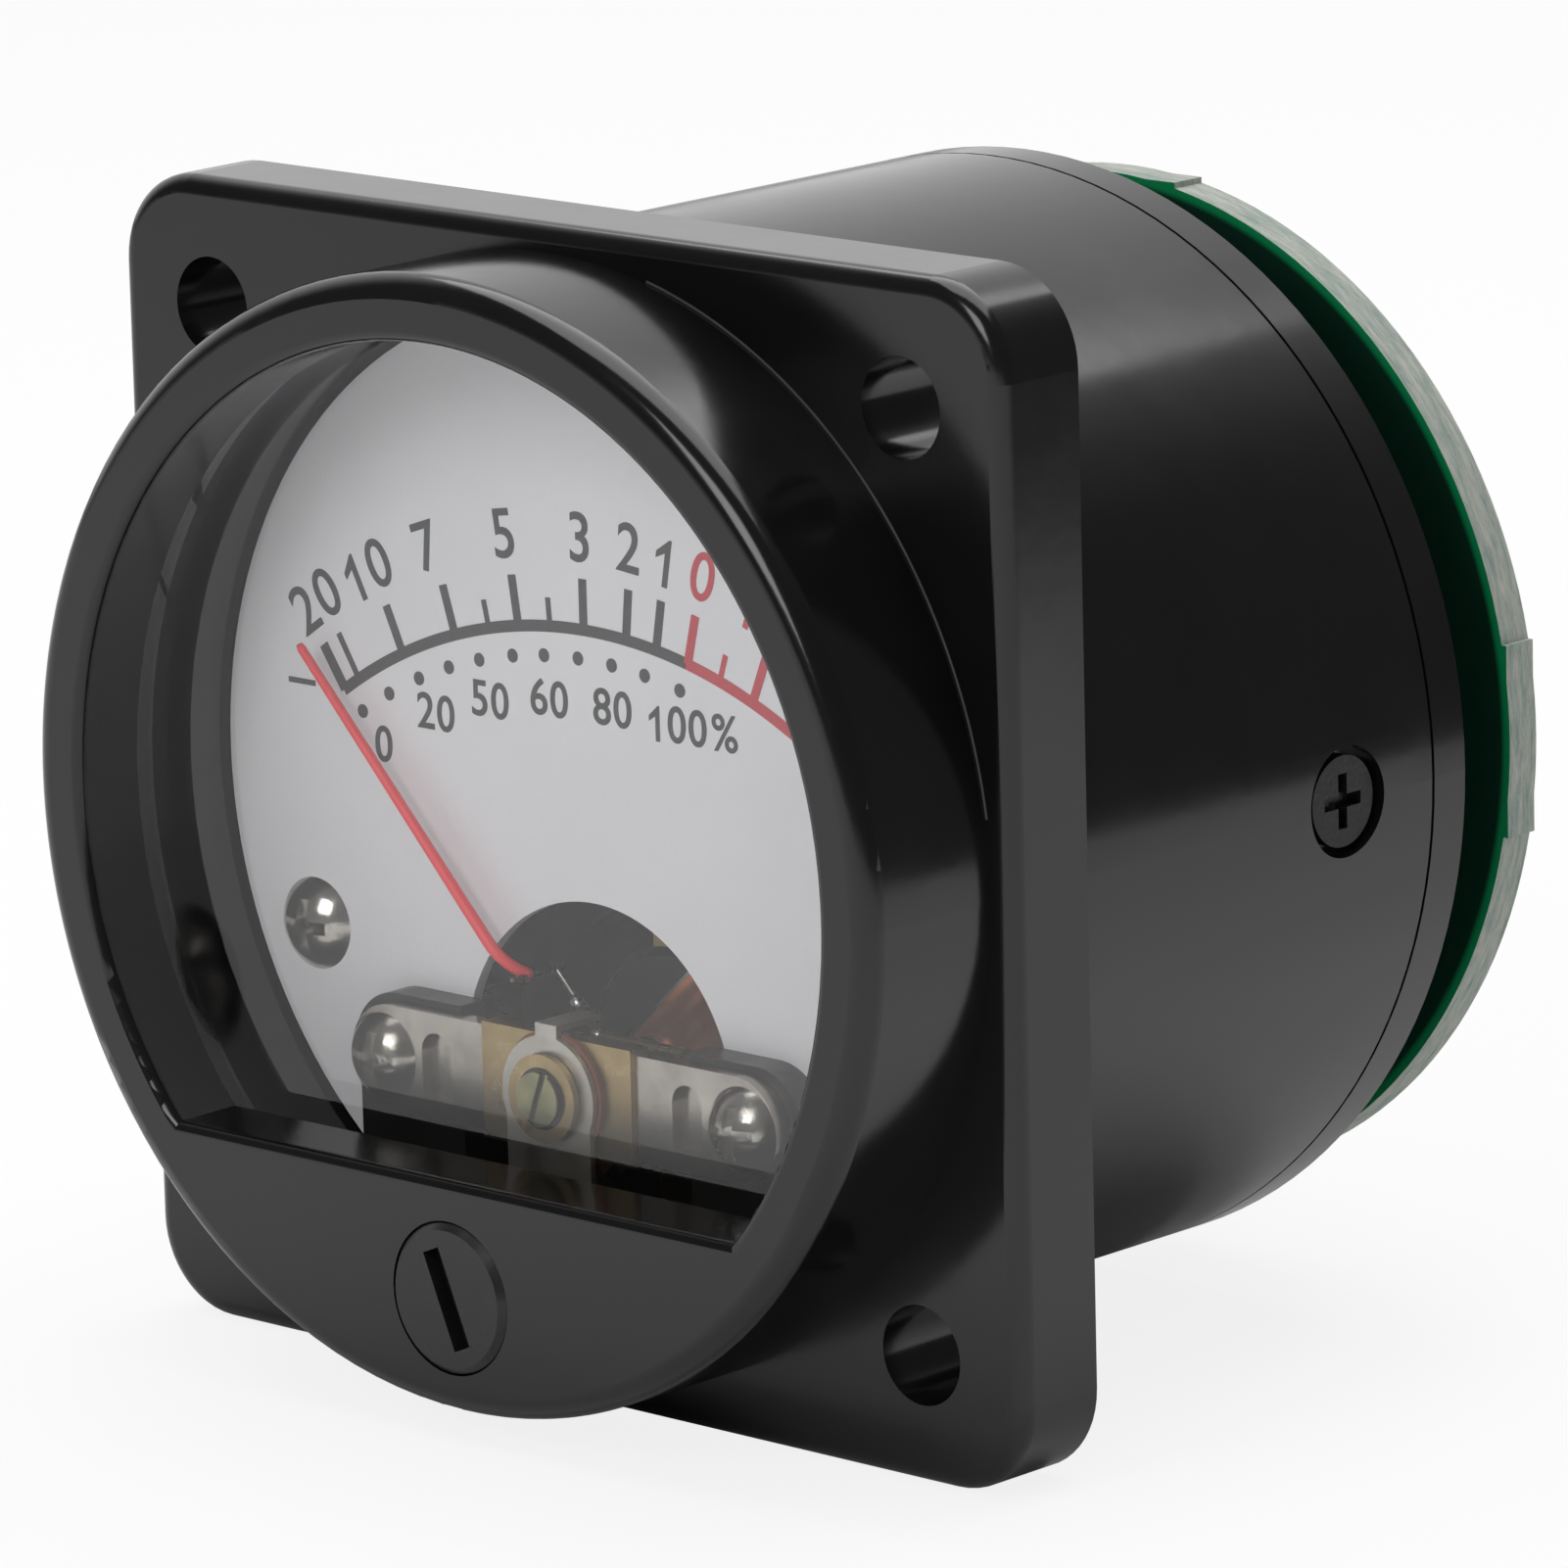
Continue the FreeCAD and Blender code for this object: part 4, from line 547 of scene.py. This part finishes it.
class DIAL_OT_print(bpy.types.Operator):
    """Print the black and the red part of the scale, and its dots"""
    bl_idname = "meter.dial_print"
    bl_label = "Scale print"

    def execute(self, context):
        sizes = context.scene.meter_dial
        inner = sizes.arc - sizes.arc_wide / 2
        outer = sizes.arc + sizes.arc_wide / 2
        black = bmesh.new()
        start, change, end = SCALE_ENDS
        band(black, PRINT_CENTRE, inner, outer, start, change, DIAL_FRONT, sizes.ink)
        for angle, is_long, wide in BLACK_TICKS:
            tip = sizes.long_tick if is_long else sizes.short_tick
            bar_mark(black, PRINT_CENTRE, sizes.arc, tip, wide * MM, angle, DIAL_FRONT, sizes.ink * 1.2)
        for angle in DOT_ANGLES:
            dot_mark(black, PRINT_CENTRE, sizes.dots, 0.27 * MM, angle, DIAL_FRONT, sizes.ink)
        bar_mark(black, Vector((-15.15 * MM, 0, 3.05 * MM)), -0.11 * MM, 0.11 * MM, 1.45 * MM, 0, DIAL_FRONT,
                 sizes.ink)
        piece_from(black, "dial_print_black", "case", "black_ink")
        red = bmesh.new()
        band(red, PRINT_CENTRE, inner, outer, change, end, DIAL_FRONT, sizes.ink)
        for angle, is_long, wide in RED_TICKS:
            tip = sizes.long_tick if is_long else sizes.short_tick
            bar_mark(red, PRINT_CENTRE, sizes.arc, tip, wide * MM, angle, DIAL_FRONT, sizes.ink * 1.2)
        for turn in (0, 90):
            centre = Vector((15.2 * MM, 0, 3.05 * MM))
            bar_mark(red, centre, -0.65 * MM, 0.65 * MM, 0.22 * MM, turn, DIAL_FRONT, sizes.ink)
        piece_from(red, "dial_print_red", "case", "red_ink")
        return {"FINISHED"}


class DIAL_OT_figures(bpy.types.Operator):
    """Print the scale's figures"""
    bl_idname = "meter.dial_figures"
    bl_label = "Scale figures"

    def execute(self, context):
        sizes = context.scene.meter_dial

        def level(text, angle):
            turn = math.radians(angle)
            place = PRINT_CENTRE + FIGURE_REACH * Vector((math.sin(turn), 0, math.cos(turn)))
            return (text, place.x, place.z, sizes.figures, angle * 1.05, 0.96, 0.27 * MM)

        def share(text, across, up):
            return (text, (across - 0.04) * MM, (up - 0.1) * MM, sizes.shares, 0, 1.0, 0.21 * MM)

        black = [level("20", -32.7), level("10", -25.7), level("7", -18.2), level("5", -8.9),
                 level("3", -0.2),
                 level("2", 5.3), level("1", 9.4), share("0", -10.8, 1.19), share("20", -7.97, 2.79),
                 share("50", -5.09, 3.66), share("60", -1.99, 4.12), share("80", 1.28, 4.16),
                 share("100%", 5.41, 3.96)]
        lettering("dial_figures_black", black, "black_ink", sizes.ink)
        red = [level("0", 13.6), level("1", 18.9), level("2", 22.3), level("3", 28.2)]
        lettering("dial_figures_red", red, "red_ink", sizes.ink)
        return {"FINISHED"}


def block_at(bm, middle, size, bevel=0.0):
    """Box with softened edges."""
    made = bmesh.ops.create_cube(bm, size=1.0)
    bmesh.ops.transform(bm, matrix=Matrix.Translation(middle) @ Matrix.Diagonal((*size, 1)),
                        verts=made["verts"])
    if bevel:
        edges = list({edge for vert in made["verts"] for edge in vert.link_edges})
        bmesh.ops.bevel(bm, geom=edges, offset=bevel, affect="EDGES", segments=2, profile=0.5, material=-1)


def stub_at(bm, across, up, start, profile, segments=24):
    """Round piece along Y whose profile is (radius, distance behind the start)."""
    rings = []
    for radius, back in profile:
        ring = [bm.verts.new((across + radius * math.sin(turn), start + back, up + radius * math.cos(turn)))
                for turn in (2 * math.pi * place / segments for place in range(segments))]
        rings.append(ring)
    for here, there in zip(rings, rings[1:]):
        for place in range(segments):
            after = (place + 1) % segments
            bm.faces.new((here[place], here[after], there[after], there[place]))
    bm.faces.new(rings[0])
    bm.faces.new(rings[-1])
    bmesh.ops.recalc_face_normals(bm, faces=list(bm.faces))


def tube_along(bm, points, radii, segments=16):
    """Closed tube through points that lie in the YZ plane."""
    rings = []
    for place, (point, radius) in enumerate(zip(points, radii)):
        before = points[max(place - 1, 0)]
        after = points[min(place + 1, len(points) - 1)]
        ahead = (after - before).normalized()
        side = Vector((1, 0, 0))
        lift = ahead.cross(side).normalized()
        turns = [2 * math.pi * step / segments for step in range(segments)]
        offsets = [side * (radius * math.cos(turn)) + lift * (radius * math.sin(turn)) for turn in turns]
        rings.append([bm.verts.new(point + offset) for offset in offsets])
    for here, there in zip(rings, rings[1:]):
        for step in range(segments):
            after = (step + 1) % segments
            bm.faces.new((here[step], here[after], there[after], there[step]))
    bm.faces.new(rings[0])
    bm.faces.new(rings[-1])
    bmesh.ops.recalc_face_normals(bm, faces=list(bm.faces))


class MOVEMENT_OT_pointer(bpy.types.Operator):
    """Draw the painted pointer with its root bent back over the wire"""
    bl_idname = "meter.pointer"
    bl_label = "Bent pointer"

    def execute(self, context):
        bend = 2.0 * MM
        start = 6.73 * MM
        points = [Vector((0, POINTER_Y, 20.8 * MM)), Vector((0, POINTER_Y, 20.6 * MM)),
                  Vector((0, POINTER_Y, 12 * MM))]
        radii = [0.13 * MM, 0.18 * MM, 0.21 * MM]
        for step in range(9):
            turn = math.radians(60) * step / 8
            points.append(Vector((0, POINTER_Y + bend * (1 - math.cos(turn)), start - bend * math.sin(turn))))
            radii.append(0.235 * MM)
        bm = bmesh.new()
        tube_along(bm, points, radii)
        bmesh.ops.transform(bm, matrix=ON_COIL, verts=list(bm.verts))
        needle = piece_from(bm, "painted_pointer", "coil", "red_paint")
        for face in needle.data.polygons:
            face.use_smooth = True
        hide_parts("pointer")
        return {"FINISHED"}


class MOVEMENT_OT_trim(bpy.types.Operator):
    """Add solder at the pointer's strip, a dark ring of painted shade in the recess round the jewel screw and
    the flange's flash line
    """
    bl_idname = "meter.movement_trim"
    bl_label = "Small details in front"

    def execute(self, context):
        bm = bmesh.new()
        for back, up, size in ((-0.1, 3.3, (0.34, 0.3, 0.42)), (-0.12, 1.8, (0.3, 0.24, 0.34))):
            made = bmesh.ops.create_icosphere(bm, subdivisions=3, radius=1.0)
            place = Matrix.Translation((0, HUB_Y + back * MM,
                                        up * MM)) @ Matrix.Diagonal([part * MM for part in size] + [1])
            bmesh.ops.transform(bm, matrix=place, verts=made["verts"])
        bmesh.ops.transform(bm, matrix=ON_COIL, verts=list(bm.verts))
        blobs = piece_from(bm, "strip_solder", "coil", "solder")
        for face in blobs.data.polygons:
            face.use_smooth = True
        # A thin near-black ring at the nut's front: painted shade of the recess round the jewel screw
        groove_shade = bmesh.new()
        band(groove_shade, Vector((0, 0, AXIS_Z)), 1.06 * MM, 1.2 * MM, 0, 360, NUT_FRONT, 0.01 * MM)
        piece_from(groove_shade, "jewel_groove_painted_shade", "case", "groove_shade")
        line = bmesh.new()
        band(line, Vector((0, 0, 0)), 21.51 * MM, 21.6 * MM, 14, 82, FLANGE_FRONT, 0.02 * MM)
        piece_from(line, "flange_flash_line", "case", "flash")
        return {"FINISHED"}


class BOARD_OT_parts(bpy.types.Operator):
    """Add the legs, end caps and solder of the parts on the board"""
    bl_idname = "meter.board_parts"
    bl_label = "Legs and solder on the board"

    def execute(self, context):
        low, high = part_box("rectifier_bridge")
        legs = bmesh.new()
        for across in (-PIN_REACH, PIN_REACH):
            for up, way in ((low.z, -1), (high.z, 1)):
                block_at(legs, (across, BOARD_REAR + 0.12 * MM, up + way * 0.85 * MM),
                         (0.6 * MM, 0.2 * MM, 0.9 * MM),
                         0.05 * MM)
                block_at(legs, (across, BOARD_REAR + 0.6 * MM, up + way * 0.35 * MM),
                         (0.6 * MM, 1.1 * MM, 0.2 * MM),
                         0.05 * MM)
        piece_from(legs, "rectifier_legs", "case", "solder")
        low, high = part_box("board_resistors")
        caps = bmesh.new()
        for across in (low.x + 0.2 * MM, high.x - 0.2 * MM):
            for up in (low.z + 0.8 * MM, high.z - 0.8 * MM):
                block_at(caps, (across, (low.y + high.y) / 2, up),
                         (0.46 * MM, high.y - low.y + 0.04 * MM, 1.66 * MM),
                         0.06 * MM)
        piece_from(caps, "resistor_end_caps", "case", "solder")
        joints = bmesh.new()
        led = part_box("backlight_led")
        middle = (led[0].z + led[1].z) / 2
        for across in (-PIN_REACH, PIN_REACH):
            stub_at(joints, across, middle, BOARD_REAR,
                    [(0.95 * MM, 0), (0.9 * MM, 0.08 * MM), (0.55 * MM, 0.32 * MM), (0.3 * MM, 0.6 * MM),
                     (0.27 * MM, 1.1 * MM),
                     (0.15 * MM, 1.18 * MM)])
        for across in (-PIN_REACH, PIN_REACH):
            stub_at(joints, across, -13.5 * MM, BOARD_REAR,
                    [(0.95 * MM, 0), (0.9 * MM, 0.08 * MM), (0.5 * MM, 0.3 * MM), (0.28 * MM, 0.55 * MM),
                     (0.1 * MM, 0.62 * MM)])
        piece_from(joints, "board_solder_joints", "case", "solder")
        low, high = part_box("board_capacitor")
        across = (low.x + high.x) / 2
        up = (low.z + high.z) / 2
        lid = bmesh.new()
        stub_at(lid, across, up, high.y, [(2.15 * MM, 0), (2.15 * MM, 0.04 * MM), (2.0 * MM, 0.08 * MM),
                                          (1.9 * MM, 0.08 * MM)], 40)
        for turn in (0, 90):
            bar_mark(lid, Vector((across, 0, up)), -1.6 * MM, 1.6 * MM, 0.14 * MM, turn, high.y + 0.12 * MM,
                     0.05 * MM)
        piece_from(lid, "capacitor_lid", "case", "can")
        collar = bmesh.new()
        stub_at(collar, across, up, BOARD_REAR,
                [(2.55 * MM, 0.2 * MM), (2.62 * MM, 0.35 * MM), (2.55 * MM, 0.55 * MM),
                 (2.5 * MM, 0.6 * MM)], 40)
        piece_from(collar, "capacitor_foot", "case", "epoxy")
        return {"FINISHED"}


class BOARD_OT_print(bpy.types.Operator):
    """Add the copper runs and the white outlines on the board's rear face"""
    bl_idname = "meter.board_print"
    bl_label = "Runs and outlines on the board"

    def execute(self, context):
        level = BOARD_REAR + 0.035 * MM
        runs = bmesh.new()
        for start, end in (((-8.5, -3.4), (-4.0, -5.0)), ((-4.0, -5.0), (-1.3, -5.0)),
                           ((8.5, -3.4), (4.0, -5.0)),
                           ((4.0, -5.0), (1.3, -5.0)), ((-8.5, 3.4), (-8.5, 7.5)),
                           ((-4.6, 7.5), (-1.3, 11.6)),
                           ((-1.3, -9.4), (-1.3, -13.0)), ((1.3, -9.4), (1.3, -13.0)),
                           ((1.3, 11.6), (4.6, 9.6)),
                           ((8.5, 3.4), (7.6, 6.0))):
            first = Vector((start[0] * MM, 0, start[1] * MM))
            last = Vector((end[0] * MM, 0, end[1] * MM))
            angle = math.degrees(math.atan2(last.x - first.x, last.z - first.z))
            bar_mark(runs, first, 0, (last - first).length, 0.9 * MM, angle, level, 0.035 * MM)
            for corner in (first, last):
                stub_at(runs, corner.x, corner.z, BOARD_REAR, [(0.45 * MM, 0), (0.45 * MM, 0.036 * MM)], 20)
        piece_from(runs, "board_copper_runs", "case", "trace")
        pads = bmesh.new()
        for across in (-STUD_REACH, STUD_REACH):
            band(pads, Vector((across, 0, 0)), 3.02 * MM, 3.7 * MM, 0, 360, BOARD_REAR + 0.03 * MM, 0.03 * MM)
        piece_from(pads, "stud_pads", "case", "solder")
        silk = bmesh.new()
        level = BOARD_REAR + 0.05 * MM
        for middle, wide, high in (((0, -7.0), 6.4, 6.8), ((-6.5, 7.5), 4.4, 2.5), ((-6.5, 10.5), 4.4, 2.5)):
            for way in (-1, 1):
                centre = Vector((middle[0] * MM, 0, (middle[1] + way * high / 2) * MM))
                bar_mark(silk, centre, -wide / 2 * MM, wide / 2 * MM, 0.18 * MM, 90, level, 0.05 * MM)
                centre = Vector(((middle[0] + way * wide / 2) * MM, 0, middle[1] * MM))
                bar_mark(silk, centre, -high / 2 * MM, high / 2 * MM, 0.18 * MM, 0, level, 0.05 * MM)
        band(silk, CAPACITOR, 2.95 * MM, 3.13 * MM, 0, 360, level, 0.05 * MM)
        band(silk, LED, 2.3 * MM, 2.48 * MM, 0, 360, level, 0.05 * MM)
        for across, up, both in ((-8.5, -5.6, False), (8.5, -5.6, True), (10.6, 8.5, True)):
            centre = Vector((across * MM, 0, up * MM))
            bar_mark(silk, centre, -0.7 * MM, 0.7 * MM, 0.2 * MM, 90, level, 0.05 * MM)
            if both:
                bar_mark(silk, centre, -0.7 * MM, 0.7 * MM, 0.2 * MM, 0, level, 0.05 * MM)
        piece_from(silk, "board_outlines", "case", "silk")
        return {"FINISHED"}


class STAGE_OT_studio(bpy.types.Operator):
    """Set the floor, the lamps, the world and the camera"""
    bl_idname = "meter.studio"
    bl_label = "Studio"

    def execute(self, context):
        floor_and_world(context)
        lamps(context)
        camera(context)
        context.scene.view_settings.view_transform = "Standard"
        return {"FINISHED"}


def floor_and_world(context):
    """Pale floor that keeps the shadow, and a white surround for the camera and for reflections."""
    bm = bmesh.new()
    bmesh.ops.create_grid(bm, x_segments=1, y_segments=1, size=3.0)
    bmesh.ops.translate(bm, verts=list(bm.verts), vec=(0, 0, FLOOR_LEVEL))
    mesh = bpy.data.meshes.new("floor")
    bm.to_mesh(mesh)
    bm.free()
    floor = bpy.data.objects.new("floor", mesh)
    context.scene.collection.objects.link(floor)
    material, tree, out = blank("floor, matt white")
    path = put(tree, "ShaderNodeLightPath")
    where = put(tree, "ShaderNodeTexCoord")
    apart = put(tree, "ShaderNodeSeparateXYZ", None, {"Vector": where.outputs["Object"]})
    # Mirrored in the gloss the floor reads as a table top, which ends to the right and behind
    along = put(tree, "ShaderNodeMath", None, {0: apart.outputs["X"], 1: apart.outputs["Y"]}, operation="ADD")
    past = put(tree, "ShaderNodeMapRange", {"From Min": 0.25, "From Max": 0.27},
               {"Value": along.outputs["Value"]})
    mirrored = put(tree, "ShaderNodeMath", None,
                   {0: past.outputs["Result"], 1: path.outputs["Is Glossy Ray"]},
                   operation="MULTIPLY")
    matt = put(tree, "ShaderNodeBsdfDiffuse", {"Color": linear("#e6e6e6")})
    glow = put(tree, "ShaderNodeEmission", {"Color": linear("#ffffff"), "Strength": 1.0})
    dim = put(tree, "ShaderNodeEmission", {"Color": linear("#ffffff"), "Strength": 0.1})
    share = put(tree, "ShaderNodeMath", {1: 0.85}, {0: path.outputs["Is Camera Ray"]}, operation="MULTIPLY")
    mixed = put(tree, "ShaderNodeMixShader", None, {"Fac": share.outputs["Value"]})
    tree.links.new(matt.outputs["BSDF"], mixed.inputs[1])
    tree.links.new(glow.outputs["Emission"], mixed.inputs[2])
    edged = put(tree, "ShaderNodeMixShader", None, {"Fac": mirrored.outputs["Value"]})
    tree.links.new(mixed.outputs["Shader"], edged.inputs[1])
    tree.links.new(dim.outputs["Emission"], edged.inputs[2])
    tree.links.new(edged.outputs["Shader"], out.inputs["Surface"])
    mesh.materials.append(material)
    surround(context)


def surround(context):
    """White to the camera, and a bright wall behind to the left in an otherwise dim room to reflections."""
    world = bpy.data.worlds.new("studio surround")
    context.scene.world = world
    world.use_nodes = True
    tree = world.node_tree
    tree.nodes.clear()
    out = put(tree, "ShaderNodeOutputWorld")
    path = put(tree, "ShaderNodeLightPath")
    where = put(tree, "ShaderNodeTexCoord")
    towards = put(tree, "ShaderNodeVectorMath", {1: (-0.68, 0.73, 0.0)}, {0: where.outputs["Generated"]},
                  operation="DOT_PRODUCT")
    wall = put(tree, "ShaderNodeMapRange", {"From Min": 0.22, "From Max": 0.72, "To Min": 0.1, "To Max": 1.0},
               {"Value": towards.outputs["Value"]}, interpolation_type="SMOOTHSTEP")
    seen = put(tree, "ShaderNodeMath", None, {0: path.outputs["Is Camera Ray"],
                                              1: path.outputs["Is Transmission Ray"]},
               operation="MAXIMUM")
    level = put(tree, "ShaderNodeMix", {"A": 0.35, "B": 1.0}, {"Factor": seen.outputs["Value"]},
                data_type="FLOAT")
    strength = put(tree, "ShaderNodeMix", None,
                   {"Factor": path.outputs["Is Glossy Ray"], "A": level.outputs["Result"],
                                                 "B": wall.outputs["Result"]}, data_type="FLOAT")
    sky = put(tree, "ShaderNodeBackground", {"Color": linear("#ffffff")},
              {"Strength": strength.outputs["Result"]})
    tree.links.new(sky.outputs["Background"], out.inputs["Surface"])


def soft_box(context, name, place, aim, wide, high, watts):
    """White area lamp at a place, turned to a point."""
    lamp = bpy.data.lights.new(name, "AREA")
    lamp.shape = "RECTANGLE"
    lamp.size = wide
    lamp.size_y = high
    lamp.energy = watts
    holder = bpy.data.objects.new(name, lamp)
    holder.location = place
    holder.rotation_euler = (Vector(aim) - Vector(place)).to_track_quat("-Z", "Y").to_euler()
    context.scene.collection.objects.link(holder)


def lamps(context):
    """A large soft box above and a small one in front to the right, in metres and watts."""
    soft_box(context, "top box", (-0.05, 0.1, 0.5), (0, 0.01, 0), 0.6, 0.6, 3.0)
    soft_box(context, "front box", (0.06, -0.6, 0.34), (0, 0, 0), 0.3, 0.3, 1.3)


def camera(context):
    """Camera at the photograph's angle, from a fit to the flange, bezel and board outlines."""
    data = bpy.data.cameras.new("camera")
    data.sensor_width = 36.0
    data.sensor_fit = "HORIZONTAL"
    data.lens = 247.79
    data.clip_start = 0.01
    data.clip_end = 20.0
    holder = bpy.data.objects.new("camera", data)
    right = Vector((0.73512, 0.67750, -0.02422))
    up = Vector((-0.13331, 0.17950, 0.97468))
    back = right.cross(up).normalized()
    place = Matrix((right, up, back)).transposed().to_4x4()
    place.translation = Vector((273.055, -284.828, 90.443)) * MM
    holder.matrix_world = place
    context.scene.collection.objects.link(holder)
    context.scene.camera = holder


class METER_PT_panel(bpy.types.Panel):
    """Lists the meter's steps"""
    bl_idname = "METER_PT_panel"
    bl_label = "Panel meter"
    bl_space_type = "VIEW_3D"
    bl_region_type = "UI"
    bl_category = "Panel meter"

    def draw(self, context):
        for step in STEPS:
            self.layout.operator(step.bl_idname)
        for name in DialSizes.__annotations__:
            self.layout.prop(context.scene.meter_dial, name)


STEPS = (PAINT_OT_nodes, DIAL_OT_print, DIAL_OT_figures, MOVEMENT_OT_pointer, MOVEMENT_OT_trim,
         BOARD_OT_parts,
         BOARD_OT_print, STAGE_OT_studio)
CLASSES = (DialSizes,) + STEPS + (METER_PT_panel,)


def register():
    for item in CLASSES:
        bpy.utils.register_class(item)
    bpy.types.Scene.meter_dial = bpy.props.PointerProperty(type=DialSizes)


def unregister():
    del bpy.types.Scene.meter_dial
    for item in reversed(CLASSES):
        bpy.utils.unregister_class(item)


def main():
    register()
    for step in STEPS:
        group, name = step.bl_idname.split(".")
        getattr(getattr(bpy.ops, group), name)()
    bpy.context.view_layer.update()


if __name__ == "__main__":
    main()
